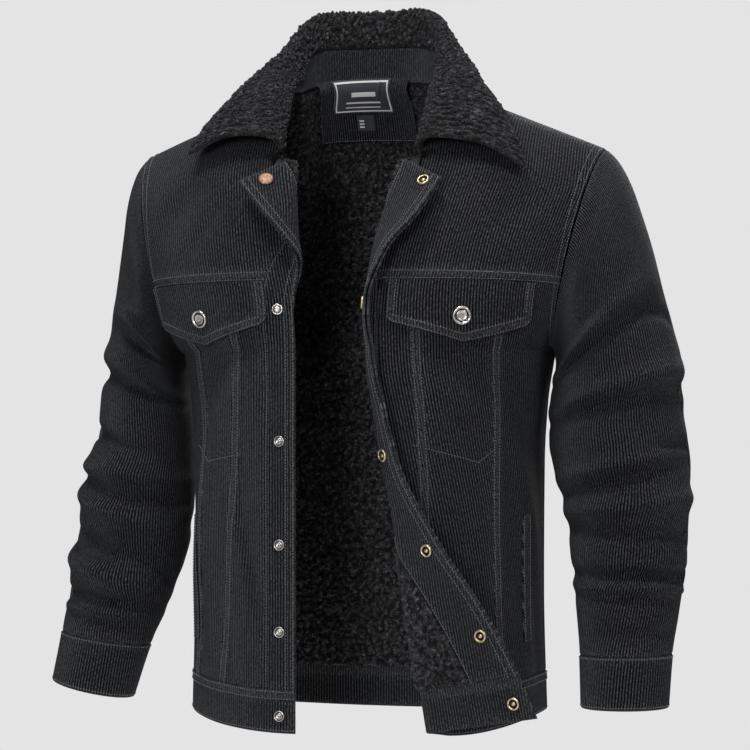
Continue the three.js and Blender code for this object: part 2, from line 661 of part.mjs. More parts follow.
for (const name of ['right', 'left']) {
  const cloth = sheets[name];
  const innerSeam = name === 'right' ? innerSeamRight : innerSeamLeft;
  const outerSeam = name === 'right' ? outerSeamRight : outerSeamLeft;
  // Columns of the net; above the lapel the yoke starts at the neck seam instead of the button stand
  const columns = (level) => {
    const edge = cloth.first(level);
    const stand = level < NECK_END ? 0.5 : edge + PLACKET;
    const facing = stand + FACING - PLACKET;
    const [inner, outer] = [innerSeam(level).at, outerSeam(level).at];
    return [
      ...range(edge, stand, 4),
      ...split(stand, facing, 2),
      ...CENTRE_SHARES[name].map((share) => lerp(facing, inner, share)),
      inner,
      ...split(inner, outer, 2),
      ...split(outer, cloth.last(level), 4),
    ];
  };
  const [STAND, EDGED] = [4, 6];
  const INNER = EDGED + CENTRE_SHARES[name].length + 1;
  const [OUTER, SIDE] = [INNER + 2, INNER + 6];
  const shell = (piece, part, levels) => {
    add(`${name}_${piece}`, block(cloth, columns, part, levels, 0, -SHELL, PANEL_INSETS), 'corduroy');
  };
  shell('front_yoke', [STAND, SIDE], [0.002, YOKE]);
  shell('front_centre', [STAND, INNER], [YOKE, BAND_TOP]);
  shell('front_middle', [INNER, OUTER], [YOKE, BAND_TOP]);
  shell('front_side', [OUTER, SIDE], [YOKE, BAND_TOP]);
  shell('placket', [0, STAND], [NECK_END, BAND_TOP]);
  const facingOut = -SHELL - FACING_EASE;
  const facingIn = facingOut - SHELL;
  const drawn = [half, GAP];
  const facing = block(cloth, columns, [0, EDGED], [NECK_END, BAND_TOP], facingOut, facingIn, drawn);
  add(`${name}_facing`, facing, 'corduroy');
  const hem = block(cloth, columns, [0, SIDE], [BAND_TOP, 2], BAND_LIFT, BAND_LIFT - BAND);
  add(`${name}_hem_band`, hem, 'corduroy');
  const liningColumns = (level) => {
    const keys = columns(level);
    return [level < NECK_END ? keys[STAND] + 6 : keys[EDGED] + 1.1, ...keys.slice(EDGED + 1)];
  };
  const lining = block(
    cloth,
    (level) => liningColumns(level).map((key) => Math.min(key, cloth.last(level) - (level < 0.99 ? 1 : 0))),
    [0, SIDE - EDGED],
    [LINING_TOP, BAND_TOP],
    liningOut,
    liningIn,
  );
  add(`${name}_front_lining`, lining, 'fleece');

  // Pocket flap, pointed at the middle of its lower edge
  const flap = (i, j) => {
    const a = i / 8;
    const drop = lerp(FLAP_SIDE, FLAP_POINT, 1 - Math.abs(2 * a - 1));
    const down = FLAP_TOP[name] + (drop * j * FLAP_STRETCH) / 3;
    return [FLAP_START[name] + a * FLAP_WIDTH, YOKE + levelOf(down)];
  };
  add(`${name}_pocket_flap`, wall(cloth, flap, [8, 3], FLAP_FOOT + FLAP_WALL, FLAP_FOOT), 'corduroy');

  const welt = (i, j) => {
    const level = lerp(WELT_LEVELS[0], WELT_LEVELS[1], j / 6);
    return [cloth.last(level) - WELT_FROM_SIDE[name] + (i / 2 - 0.5) * WELT_WIDTH, level];
  };
  add(`${name}_hand_pocket_welt`, wall(cloth, welt, [2, 6], WELT_FOOT + SHELL, WELT_FOOT), 'corduroy');
}

// Back pieces
const back = sheets.back;
const backColumns = (level) => {
  const seam = backSeam(level).at;
  return [
    ...range(back.first(level), -seam, 3),
    ...BACK_SHARES.map((share) => share * seam),
    seam,
    ...split(seam, back.last(level), 3),
  ];
};
const backPiece = (name, part, levels) => {
  add(name, block(back, backColumns, part, levels, 0, -SHELL), 'corduroy');
};
backPiece('back_yoke', [0, 14], [0.002, BACK_YOKE]);
backPiece('back_right', [0, 3], [BACK_YOKE, BAND_TOP]);
backPiece('back_centre', [3, 11], [BACK_YOKE, BAND_TOP]);
backPiece('back_left', [11, 14], [BACK_YOKE, BAND_TOP]);
const backHem = block(back, backColumns, [0, 14], [BAND_TOP, 2], BAND_LIFT, BAND_LIFT - BAND);
add('back_hem_band', backHem, 'corduroy');
const backLiningColumns = (level) => {
  const inset = level < 0.99 ? 1 : 0;
  return backColumns(level).map((key) => clamp(key, back.first(level) + inset, back.last(level) - inset));
};
const backLining = block(back, backLiningColumns, [0, 14], [LINING_TOP, BAND_TOP], liningOut, liningIn);
add('back_lining', backLining, 'fleece');

// Sleeves and cuffs; their columns start from the same points of the armhole as the body's rows
const SLEEVE_ROWS = [0, 0.12, 0.24, 0.36, 0.48, 0.6, 0.74, 0.82, 0.9, 0.95, 1];
const armholeRows = SLEEVE_ROWS.map((row) => armholeAngle(row).angle);
const ANGLES = [...armholeRows, ...armholeRows.slice(1, -1).reverse().map((angle) => 360 - angle)];
for (const [name, arm] of Object.entries(ARMS)) {
  const tube = sleeveTube(arm);
  const rings = [...range(ARMHOLE_EASE, 120, 6), ...range(120, arm.cuff - half, 18).slice(1)];
  const around = (i) => ANGLES[i % ANGLES.length];
  const counts = [ANGLES.length, rings.length - 1];
  add(`${name}_sleeve`, wall(tube, (i, j) => [around(i), rings[j]], counts, 0, -SHELL, true), 'corduroy');
  const cuff = (i, j) => [around(i), lerp(arm.cuff + half, arm.end, j / 2)];
  add(`${name}_cuff`, wall(tube, cuff, [ANGLES.length, 2], CUFF_LIFT, CUFF_LIFT - BAND, true), 'corduroy');
}

// Collar: sherpa on top, corduroy beneath it and in a strip round the inside of the neck
const collar = collarSheet();
const collarNet = (from, to, rows) => (i, j) => [lerp(-1, 1, i / 20), lerp(from, to, j / rows)];
const fleeceNet = collarNet(STAND_SHARE + 0.01, 1, 6);
add('collar_fleece', wall(collar, fleeceNet, [20, 6], half + COLLAR_PILE, half), 'fleece');
add('under_collar', wall(collar, collarNet(0, 1, 8), [20, 8], -half, -half - SHELL), 'corduroy');
const standNet = (i, j) => [lerp(-1, 1, i / 20), [-NECK_TAPE_SHARE, 0, STAND_SHARE / 2, STAND_SHARE][j]];
add('collar_stand', wall(collar, standNet, [20, 3], half + SHELL, half), 'corduroy');

// Neck patch and its two labels: they hang from the neck seam, then lie on the lining
const hung = (u, level) => {
  const lying = back.at(u, level, liningIn - PATCH_LIFT);
  const seam = back.place(u, 0);
  const inward = vec(-seam.x, rollLeft(0).y - seam.y, 0).normalize();
  const share = smooth(0, PATCH_HANG, level);
  seam.addScaledVector(inward, PATCH_FRONT);
  return seam.lerp(lying, share).addScaledVector(inward, PATCH_SWAY * Math.sin(Math.PI * share));
};
const neck = new Cloth(hung, 1, [1.5, 0.004]);
const labelOut = -SHELL - LABEL_EASE;
const sheetOf = (across, down) => (i, j) => [across[i], down[j]];
const neckColumns = (from, to) => backColumns(0.1).slice(3).slice(from, to);
add('neck_patch', wall(neck, sheetOf(neckColumns(1, 7), PATCH_LEVELS), [5, 4], 0, -SHELL), 'corduroy');
const labelNet = sheetOf(neckColumns(2, 6), LABEL_LEVELS);
add('neck_label', wall(neck, labelNet, [3, 3], labelOut, labelOut - LABEL_WALL), 'woven');
const tabNet = sheetOf([TAB.left, TAB.right], [TAB.top, TAB.bottom]);
add('size_label', wall(neck, tabNet, [1, 1], labelOut, labelOut - LABEL_WALL), 'woven');

// A turned metal piece standing on a cloth: its profile is radius and height from the face
function turned(cloth, [u, v], offset, facing, profile) {
  const points = profile.map(([r, h]) => new THREE.Vector2(r, h));
  const lathe = new THREE.LatheGeometry(points, 8);
  const normal = cloth.normal(u, v).multiplyScalar(facing);
  lathe.applyQuaternion(new THREE.Quaternion().setFromUnitVectors(vec(0, 1, 0), normal));
  const foot = cloth.at(u, v, offset).addScaledVector(normal, GAP);
  lathe.translate(foot.x, foot.y, foot.z);
  return lathe;
}

for (const name of ['right', 'left']) {
  const cloth = sheets[name];
  const middle = FLAP_START[name] + FLAP_WIDTH / 2;
  const low = YOKE + levelOf(FLAP_TOP[name] + BUTTON_DROP);
  const button = turned(cloth, [middle, low], FLAP_FOOT + FLAP_WALL, 1, BUTTON_PROFILE);
  add(`${name}_pocket_button`, button, 'steel');
  SNAP_LEVELS[name].forEach((level, i) => {
    const inset = name === 'right' && i === 0 ? CAP_INSET : PLACKET / 2;
    const spot = [cloth.first(level) + inset, level];
    const inBand = level > BAND_TOP;
    const [outside, inside] = inBand ? [BAND_LIFT, BAND_LIFT - BAND] : [0, -2 * SHELL - FACING_EASE];
    if (name === 'left') {
      const lift = SOCKET_LIFT[i];
      add(`left_snap_socket_${i + 1}`, turned(cloth, spot, inside - lift, -1, SOCKET_PROFILE), 'brass');
    } else if (i === 0) {
      add('right_snap_cap_1', turned(cloth, spot, inside - GAP, -1, CAP_PROFILE), 'copper');
    } else {
      add(`right_snap_stud_${i + 1}`, turned(cloth, spot, outside, 1, STUD_PROFILE), 'steel');
    }
  });
}

export default garment;
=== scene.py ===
# %% [markdown]
# # A corduroy trucker jacket with a sherpa lining
# The jacket hangs open in its worn shape, with nobody in it. Its sizes and its form are those of
# the part's own solids, which were drawn from the same tables. This lesson gives every cut piece
# a finer surface with ribs or curls, adds rows of thread and turned metal, and then lights the
# jacket as in a plain studio.

# %% The frame and the tools
import math
import bpy
import numpy as np
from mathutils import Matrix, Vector


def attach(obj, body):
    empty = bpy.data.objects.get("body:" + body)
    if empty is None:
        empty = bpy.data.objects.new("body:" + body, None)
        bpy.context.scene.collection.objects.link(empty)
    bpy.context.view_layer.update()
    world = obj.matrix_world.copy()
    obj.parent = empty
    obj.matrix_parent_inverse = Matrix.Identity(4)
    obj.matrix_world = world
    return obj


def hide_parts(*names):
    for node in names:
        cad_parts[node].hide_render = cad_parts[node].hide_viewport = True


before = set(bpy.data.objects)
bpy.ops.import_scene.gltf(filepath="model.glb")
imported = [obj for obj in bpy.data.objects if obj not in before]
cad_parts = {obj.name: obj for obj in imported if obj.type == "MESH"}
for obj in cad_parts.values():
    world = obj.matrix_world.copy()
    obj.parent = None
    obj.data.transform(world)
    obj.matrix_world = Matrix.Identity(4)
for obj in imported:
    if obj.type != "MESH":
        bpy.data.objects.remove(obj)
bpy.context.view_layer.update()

MM = 0.001
print("solids", len(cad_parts))

# %% [markdown]
# ## Sizes
# The garment is drawn in millimetres, as a cutter would, and turned into metres when a mesh is
# made. Levels count 0 along the shoulder seams, 1 at the underarm and 2 at the hem.

# %% Driving sizes
SIDES = {"right": -1, "left": 1}
# Thicknesses: the gap between neighbours, the corduroy, the sherpa and a folded band
GAP, SHELL, FLEECE, BAND = 0.4, 2.0, 5.0, 4.2
# Heights of the underarm and the hem, the hem's climb at the sides, and y of the side seams
UNDERARM_Z, HEM_Z, HEM_LIFT, SIDE_SEAM_Y = -290, -684, 14, 5
LEVEL_HEIGHT = UNDERARM_Z - HEM_Z
# Levels where the neck and the yokes end, and the height of the hem band
NECK_END, YOKE, BACK_YOKE, HEM_BAND = 0.36, 0.775, 0.6, 44
BAND_TOP = 2 - HEM_BAND / LEVEL_HEIGHT
# Widths of the placket and of the facing behind it
PLACKET, FACING = 34, 54
# Air between the layers, and where they lie under the sheet
LINING_EASE, FACING_EASE, PATCH_LIFT, LABEL_EASE = 1.6, 1.5, 1.7, 1.3
LINING_OUT, FACING_OUT = -SHELL - LINING_EASE, -SHELL - FACING_EASE
LINING_IN, FACING_IN = LINING_OUT - FLEECE, FACING_OUT - SHELL
print("one level below the underarm is", LEVEL_HEIGHT, "mm")

# %% [markdown]
# ## Reading a table
# Each outline is a short table of measured sections. It could be a curve object with handles,
# but rows of numbers are easier to compare with a tape measure. A curve that never overshoots
# runs through the rows, so that the cloth swells and narrows smoothly between them.


# %% Curves through tables
def lerp(a, b, t):
    return a + (b - a) * t


def smooth(low, high, x):
    t = np.clip((x - low) / (high - low), 0, 1)
    return t * t * (3 - 2 * t)


def table(*rows):
    """Reads the values of any key, along curves through the rows."""
    rows = np.array(rows, float)
    keys, values = rows[:, 0], rows[:, 1:]
    steps = np.diff(values, axis=0) / np.diff(keys)[:, None]
    slopes = np.vstack([steps[:1], np.zeros_like(steps[1:]), steps[-1:]])
    a, b = steps[:-1], steps[1:]
    same = a * b > 0
    slopes[1:-1] = np.where(same, 2 * a * b / np.where(same, a + b, 1), 0)

    def read(key):
        k = np.clip(np.asarray(key, float), keys[0], keys[-1])
        i = np.clip(np.searchsorted(keys, k, side="left") - 1, 0, len(keys) - 2)
        span = (keys[i + 1] - keys[i])[..., None]
        t = (k - keys[i])[..., None] / span
        return (
            values[i] * (2 * t**3 - 3 * t**2 + 1)
            + values[i + 1] * (3 * t**2 - 2 * t**3)
            + slopes[i] * span * (t**3 - 2 * t**2 + t)
            + slopes[i + 1] * span * (t**3 - t**2)
        )

    return read


print("a curve through (0, 0), (1, 1), (2, 0) gives", table((0, 0), (1, 1), (2, 0))(0.5)[0], "at 0.5")

# %% The body's tables
# Level, half width, and how far the back stands behind the axis
body = table((1, 202, 133), (1.13, 194, 131), (1.3, 190, 130), (1.65, 189, 129), (2, 192, 131))
# Level, and the angle round the armhole that it meets
armhole_angle = table(
    (0, 0), (0.36, 55), (0.5, 75), (0.65, 94), (0.74, 107), (0.82, 119.7), (0.9, 136.5),
    (0.95, 155), (1, 180),
)
# Level, then the point that each front turns about
ROLL = {
    "right": table(
        (0, 78, 8, 0), (0.12, 78, -25, -12), (0.24, 74, -62, -44), (0.36, 73, -95, -82),
        (0.5, 66, -122, -130), (0.65, 58, -140, -180), (0.74, 53, -146, -208), (0.82, 47, -150, -235),
        (0.9, 44, -152, -260), (1, 43, -152, -290), (1.5, 43, -151, -487), (2, 43, -150, -684),
    ),
    "left": table(
        (0, 78, 8, 0), (0.12, 78, -25, -12), (0.24, 77, -62, -44), (0.36, 77, -95, -83),
        (0.5, 69, -122, -130), (0.65, 58, -141, -180), (0.74, 53, -147, -208), (0.82, 50, -151, -235),
        (0.9, 49, -153, -260), (1, 49, -154, -290), (1.2, 61, -153, -369), (1.5, 83, -147, -487),
        (1.75, 97, -139, -586), (2, 111, -130, -684),
    ),
}
# Level, then the turned-out strip: length, radius, turn in degrees, climb
TURN = {
    "right": table(
        (0.36, 80, 12, 160, -0.45), (0.5, 60, 13, 150, -0.36), (0.65, 32, 12, 125, -0.2),
        (0.74, 14, 12, 65, -0.1), (0.82, 3, 12, 15, 0), (0.9, 0, 12, 0, 0), (2, 0, 12, 0, 0),
    ),
    "left": table(
        (0.36, 78, 12, 160, -0.45), (0.5, 70, 12, 150, -0.4), (0.65, 49, 11, 138, -0.25),
        (0.74, 43, 10, 125, -0.15), (0.82, 40, 10, 115, -0.08), (1, 38, 10, 116, 0),
        (1.15, 42, 11, 128, 0.04), (1.3, 47, 12, 138, 0.1), (1.5, 73, 13, 152, 0.16),
        (1.7, 112, 14, 160, 0.19), (1.85, 135, 14, 162, 0.19), (2, 152, 14, 163, 0.18),
    ),
}
# Folds: distance across, level, lean in degrees, half length, half width, depth
FOLDS = {
    "right": [
        (125, 1.16, 20, 70, 18, -6), (60, 1.42, -10, 90, 13, -4), (95, 1.7, -12, 80, 15, -4),
        (150, 1.55, 12, 100, 18, 4), (118, 0.5, 30, 60, 20, -4),
        (88, 1.2, -14, 60, 8, -2.2), (72, 1.3, -16, 70, 8, 2.0), (100, 1.45, -12, 75, 9, -2.2),
        (60, 1.6, -14, 60, 8, 1.8), (34, 1.12, -12, 60, 8, -1.6), (160, 1.3, 16, 60, 10, -2.2),
        (140, 1.78, -8, 50, 9, -2), (90, 0.6, 34, 45, 10, -1.6), (165, 0.55, 24, 60, 12, 2),
    ],
    "left": [
        (160, 1.16, 24, 70, 18, -6), (120, 1.5, -8, 90, 16, -4), (180, 1.62, 10, 110, 18, 4),
        (120, 0.5, -30, 60, 20, -4),
        (110, 1.05, 40, 45, 9, -2), (70, 1.15, 50, 40, 9, 1.8), (150, 1.34, 20, 60, 9, 2),
        (130, 1.25, 16, 60, 9, -2), (90, 1.65, -6, 70, 9, -1.8), (165, 0.62, -28, 60, 11, 2),
        (150, 1.8, -8, 50, 10, -2),
    ],
    "back": [
        (-100, 1.22, 24, 110, 20, -7), (100, 1.26, -24, 110, 20, -7), (-30, 1.65, 6, 110, 24, 4),
        (60, 1.72, -8, 100, 20, -5), (-140, 1.7, 10, 90, 20, -5), (150, 0.8, 18, 70, 18, -4),
        (-150, 0.8, -18, 70, 18, -4),
        (-60, 1.35, 20, 80, 10, 2.4), (20, 1.5, -10, 80, 10, -2.4), (140, 1.5, -18, 80, 10, 2.4),
        (-10, 1.2, 12, 60, 10, -2), (-175, 1.3, 16, 70, 11, -2.4), (175, 1.4, -16, 70, 11, -2.4),
        (0, 0.78, 80, 60, 10, -1.8), (70, 0.9, -60, 50, 10, 1.6), (-80, 0.95, 60, 50, 10, 1.6),
    ],
}
print("folds", {k: len(v) for k, v in FOLDS.items()})

# %% [markdown]
# ## A sheet of cloth
# A sheet is a surface: two numbers, across and down, give a point. A simulation could drape it,
# but this jacket hangs in one worn shape that is known, so the shape is written down. The pieces
# sewn from it are all read from the same sheet, so their edges meet, and whatever lies on it
# follows its folds.


# %% The cloth and its normal
class Cloth:
    """place(u, v) gives the points for two arrays of numbers; out turns the normal outwards."""

    def __init__(self, place, out, steps, bend=None):
        self.place, self.out, self.steps, self.bend = place, out, steps, bend

    def normal(self, u, v):
        du, dv = self.steps
        across = self.place(u + du, v) - self.place(u - du, v)
        down = self.place(u, v + dv) - self.place(u, v - dv)
        normal = np.cross(across, down) * self.out
        normal /= np.linalg.norm(normal, axis=-1, keepdims=True) + 1e-12
        return self.bend(normal, u, v) if self.bend else normal

    def at(self, u, v, offset=0.0):
        u, v = np.broadcast_arrays(np.asarray(u, float), np.asarray(v, float))
        lift = np.broadcast_to(np.asarray(offset, float), u.shape)[..., None]
        return self.place(u, v) + self.normal(u, v) * lift


# Middle of each armhole, its lean in degrees, then its half height and half depth
ARMHOLE = {"right": (224, 5, -181, 10.9), "left": (230, 5, -182.5, 14.5)}
ARMHOLE_HIGH, ARMHOLE_DEEP = 111, 90


def armhole_point(name, half, angle):
    """A point on the armhole; half is -1 on its front edge and 1 on its back."""
    x, y, z, lean = ARMHOLE[name]
    turn = np.radians(angle)
    up = ARMHOLE_HIGH * np.cos(turn)
    return np.stack([
        SIDES[name] * (x + up * math.sin(math.radians(lean))),
        y + half * ARMHOLE_DEEP * np.sin(turn),
        z + up * math.cos(math.radians(lean)),
    ], -1)


def fold_depth(folds, at, level):
    """How far the folds push the cloth out, at a distance across and a level."""
    total = 0.0
    for where, fold_level, lean, length, width, depth in folds:
        down, across = (level - fold_level) * LEVEL_HEIGHT, at - where
        c, s = math.cos(math.radians(lean)), math.sin(math.radians(lean))
        on, off = down * c + across * s, across * c - down * s
        total = total + depth * np.exp(-((on / length) ** 2) - (off / width) ** 2)
    return total


def row_z(level, share):
    """Height of a row below the underarm; share is 0 in front and behind, and 1 at a side seam."""
    return lerp(UNDERARM_Z, HEM_Z, level - 1) + HEM_LIFT * (level - 1) ** 2 * share


def running(points):
    """Distance along a line of points."""
    steps = np.linalg.norm(np.diff(points, axis=0), axis=1)
    return np.concatenate([[0], np.cumsum(steps)])


FINE = 420
LEVELS = np.linspace(0, 2, 241)
SEAM_LEAN, SEAM_UP = 0.38, 0.92


def rows_to_cloth(rows, out):
    """Rows of points become one sheet, read by the distance along the row and by level."""
    first = np.array([keys[0] for _, keys in rows])
    last = np.array([keys[-1] for _, keys in rows])
    even = [np.linspace(keys[0], keys[-1], FINE) for _, keys in rows]
    grid = np.stack([
        np.stack([np.interp(e, keys, points[:, k]) for k in range(3)], 1)
        for e, (points, keys) in zip(even, rows)
    ])

    def find(level):
        f = (np.clip(level, 0, 2) - LEVELS[0]) / (LEVELS[1] - LEVELS[0])
        k = np.minimum(f.astype(int), len(LEVELS) - 2)
        return k, f - k

    def read(row, u):
        s = np.clip((u - first[row]) / (last[row] - first[row]), 0, 1) * (FINE - 1)
        i = np.minimum(s.astype(int), FINE - 2)
        w = (s - i)[..., None]
        return grid[row, i] * (1 - w) + grid[row, i + 1] * w

    def place(u, v):
        u, v = np.broadcast_arrays(np.asarray(u, float), np.asarray(v, float))
        k, t = find(v)
        return lerp(read(k, u), read(k + 1, u), t[..., None])

    def bend(normal, u, v):
        side = np.sign(place(u, v)[..., :1])
        seam = np.concatenate([SEAM_LEAN * side, 0 * side, SEAM_UP + 0 * side], -1)
        mixed = lerp(normal, seam, 1 - smooth(0, 0.12, np.asarray(v))[..., None])
        return mixed / np.linalg.norm(mixed, axis=-1, keepdims=True)

    cloth = Cloth(place, out, (1.5, 0.004), bend)
    cloth.first = lambda level: np.interp(level, LEVELS, first)
    cloth.last = lambda level: np.interp(level, LEVELS, last)
    return cloth


def fill(top, bottom, start, end, across, down, power):
    """Four edges filled in; what the start and end add dies away by the given power."""
    t = across[:, None]
    between = lerp(top(across), bottom(across), down)
    at_start = start(down) - lerp(top(np.zeros(1))[0], bottom(np.zeros(1))[0], down)
    at_end = end(down) - lerp(top(np.ones(1))[0], bottom(np.ones(1))[0], down)
    return between + at_start * (1 - t) ** power + at_end * t**power


print("a sheet has", len(LEVELS), "rows of", FINE, "points")

# %% [markdown]
# ## The two fronts
# A worn front isn't flat: past the roll line its edge turns out, and the wearer's left front
# shows its inner facing. So each row starts at the front edge, follows a short arc for the strip
# that is turned out, and then runs round the chest to the side seam.


# %% A front
BEND_STEPS, FRONT_FINE = 96, 150


def front_sheet(name):
    side, roll, turned = SIDES[name], ROLL[name], TURN[name]
    share = np.linspace(0, 1, FRONT_FINE)

    def on_roll(level):
        return roll(level) * np.array([side, 1, 1])

    def quarter(level, t):
        start, turn = on_roll(level), t * math.pi / 2
        x = lerp(start[0], side * body(level)[0], np.sin(turn))
        y = lerp(SIDE_SEAM_Y, start[1], np.cos(turn))
        return np.stack([x, y, row_z(level, np.sin(turn) ** 2)], -1)

    def shoulder(t):
        return lerp(on_roll(0), armhole_point(name, -1, 0), t[:, None])

    rows = []
    for level in LEVELS:
        if level >= 1:
            inner = quarter(level, share)
        else:
            inner = fill(
                shoulder, lambda s: quarter(1.0, s), on_roll,
                lambda w: armhole_point(name, -1, armhole_angle(w)[0]), share, level, 1,
            )
        length, radius, turn, climb = turned(level)
        bent = np.zeros((0, 3))
        if length > 0.05:
            onward = (inner[0] - inner[1]) * [1, 1, 0]
            onward /= np.linalg.norm(onward)
            outward = np.array([0, -1, 0]) + onward * onward[1]
            outward /= np.linalg.norm(outward)
            middle = (np.arange(BEND_STEPS) + 0.5) / BEND_STEPS
            angle = np.minimum(middle * length / radius, math.radians(turn))[:, None]
            move = onward * np.cos(angle) + outward * np.sin(angle) + [0, 0, climb]
            bent = (inner[0] + np.cumsum(move * length / BEND_STEPS, axis=0))[::-1]
        points = np.vstack([bent, inner])
        keys = running(points)
        keys -= keys[len(bent)]
        fade = smooth(4, 40, keys) * smooth(0, 40, keys[-1] - keys)
        depth = (fold_depth(FOLDS[name], keys, level) * fade)[:, None]
        rows.append((points + depth * [side * 0.5, -0.85, 0], keys))
    return rows_to_cloth(rows, -side)


SHEETS = {name: front_sheet(name) for name in SIDES}
print("fronts", list(SHEETS))

# %% [markdown]
# ## The back
# The back is one sheet from side seam to side seam, which passes over both shoulders. Its top
# follows the shoulder seams and the curve behind the neck. A plain blend of four edges fills the
# part above the underarm, and its folds are soft, because the back hangs from the yoke.

# %% The back
# How far the neck's middle lies across, back and up from the line between the shoulder seams
NECK_BACK = (-18, 60, 16)
BACK_FINE = 300


def back_sheet():
    turn = np.radians(np.linspace(-90, 90, 49))[:, None]
    s, c = np.sin(turn), np.cos(turn)
    x, y, z = ROLL["left"](0)
    neck = np.hstack([x * s + NECK_BACK[0] * c * c, y + NECK_BACK[1] * c, NECK_BACK[2] * c])
    ends = [armhole_point(name, 1, 0)[None] for name in ("right", "left")]
    crest = np.vstack([ends[0], neck, ends[1]])
    crest_keys = running(crest)

    def top(t):
        key = t * crest_keys[-1]
        return np.stack([np.interp(key, crest_keys, crest[:, k]) for k in range(3)], -1)

    def half(level, t):
        turn = np.radians(lerp(-90, 90, t))
        wide, back = body(level)
        y = lerp(SIDE_SEAM_Y, back, np.cos(turn))
        return np.stack([wide * np.sin(turn), y, row_z(level, np.sin(turn) ** 2)], -1)

    share, rows = np.linspace(0, 1, BACK_FINE), []
    for level in LEVELS:
        if level >= 1:
            points = half(level, share)
        else:
            points = fill(
                top, lambda s: half(1.0, s),
                lambda w: armhole_point("right", 1, armhole_angle(w)[0]),
                lambda w: armhole_point("left", 1, armhole_angle(w)[0]), share, level, 2.5,
            )
        keys = running(points)
        keys -= keys[-1] / 2
        fade = smooth(0, 40, keys[-1] - np.abs(keys)) * smooth(0, 0.2, level)
        points[:, 1] += fold_depth(FOLDS["back"], keys, level) * fade
        rows.append((points, keys))
    return rows_to_cloth(rows, 1)


SHEETS["back"] = back_sheet()
for name, cloth in SHEETS.items():
    print(name, "is", round(float(cloth.last(1.5) - cloth.first(1.5))), "mm round at level 1.5")

# %% [markdown]
# ## The sleeves
# A sleeve is a tube whose rings are ellipses. Its folds are what make it look worn. A simulation
# would give folds of its own, so each one that the eye knows is a row of numbers here: a soft
# trough or ridge that runs part of the way round, leans, and fades out at its ends.

# %% The sleeves' tables
# Distance down, outer edge x and z, inner edge x and z, middle y, half depth
ARM = {
    "right": table(
        (0, 245, -72, 203, -290, 5, 90), (20, 255, -86, 204, -294, 5, 92),
        (45, 263, -112, 205, -299, 5, 92), (75, 268, -146, 205.5, -306, 5, 90),
        (110, 275, -190, 205, -316, 5, 86),
        (150, 283, -238, 204, -332, 4, 80), (190, 291, -285, 201, -352, 2, 76),
        (230, 298, -330, 199, -378, 0, 73), (265, 301, -368, 198, -404, -3, 71),
        (300, 309, -400, 197, -428, -7, 69), (335, 316, -434, 196, -455, -11, 66),
        (370, 321, -470, 198, -487, -15, 62), (400, 326, -502, 204, -516, -19, 58),
        (430, 329, -535, 214, -548, -23, 53), (460, 332, -565, 226, -577, -27, 48),
        (490, 335, -591, 238, -606, -31, 45), (550, 344, -644, 256, -663, -36, 43),
    ),
    "left": table(
        (0, 257.8, -75, 202.2, -290, 5, 90), (20, 270, -88, 203.5, -294, 5, 93),
        (45, 283, -112, 204.5, -299, 5, 94), (75, 294, -143, 205, -305, 5, 92),
        (110, 306, -182, 204, -314, 5, 88), (150, 317, -226, 201, -326, 4, 82),
        (190, 328, -266, 198.5, -342, 2, 78), (230, 337, -306, 197, -362, 0, 75),
        (265, 337, -342, 198, -384, -3, 72), (300, 343, -378, 202, -408, -7, 69),
        (335, 347, -412, 209, -434, -11, 66), (370, 347, -446, 216, -462, -15, 62),
        (400, 345, -478, 221, -490, -19, 58), (430, 345, -508, 224, -518, -23, 54),
        (460, 340, -538, 228, -546, -27, 50), (490, 336, -566, 231, -573, -30, 47),
        (530, 330, -605, 234, -607, -34, 45), (590, 326, -660, 236, -661, -38, 43),
    ),
}
CUFF = {"right": (490, 550), "left": (530, 590)}
# Distance down, angle round (180 inside, 270 front, 360 outside), half span, slope, width, depth
CREASES = {
    "right": [
        (122, 275, 34, 0.5, 10, 6.8), (142, 272, 37, 0.5, 11, -9.5), (182, 285, 69, 0.2, 11, 5.4),
        (201, 285, 75, 0.2, 11, -9.5), (272, 315, 52, 0, 9, -8.1), (306, 270, 92, 0.06, 11, 8.1),
        (333, 212, 29, 0, 10, -9.5), (332, 290, 63, -0.15, 10, -5.4), (353, 285, 69, -0.23, 10, 8.1),
        (393, 290, 52, -0.1, 16, -12.2), (410, 215, 32, -0.45, 8, -9.5), (418, 280, 69, -0.2, 10, 9.5),
        (445, 275, 92, 0, 8, -9.5), (457, 275, 80, 0, 8, 5.4), (467, 275, 80, -0.1, 7, -4.1),
        (230, 100, 69, 0.2, 14, -8.1), (262, 90, 80, -0.1, 14, 6.8), (350, 90, 80, 0.1, 14, -8.1),
        (420, 90, 80, 0, 13, -6.8),
    ],
    "left": [
        (136, 258, 69, 0, 14, 8.1), (158, 270, 57, 0, 12, -8.1), (166, 330, 29, 0.5, 9, -6.8),
        (226, 275, 86, 0.12, 12, 8.1), (249, 275, 86, 0.1, 11, -8.1), (310, 330, 34, 0, 9, -6.8),
        (319, 262, 69, -0.1, 10, 8.1), (338, 262, 69, -0.1, 10, -8.1), (368, 275, 86, 0, 10, 8.1),
        (381, 212, 29, 0, 9, -9.5), (397, 270, 92, 0.1, 8, -6.8), (442, 270, 98, 0.08, 8, -10.8),
        (454, 270, 92, 0.08, 8, 6.8), (462, 265, 86, 0.08, 7, -5.4), (506, 300, 57, 0, 8, -4.1),
        (236, 95, 69, -0.2, 14, -8.1), (270, 90, 80, 0.1, 14, 6.8), (360, 90, 80, -0.1, 14, -8.1),
        (430, 90, 80, 0, 13, -6.8),
    ],
}
print("sleeve folds", {k: len(v) for k, v in CREASES.items()})

# %% A sleeve
# A trough is cut deeper and narrower than a ridge is swollen, but no narrower than FOLD_LEAST
FOLD_CUT, FOLD_NARROW, FOLD_SWELL, FOLD_LEAST = 1.45, 0.8, 1.3, 7.5


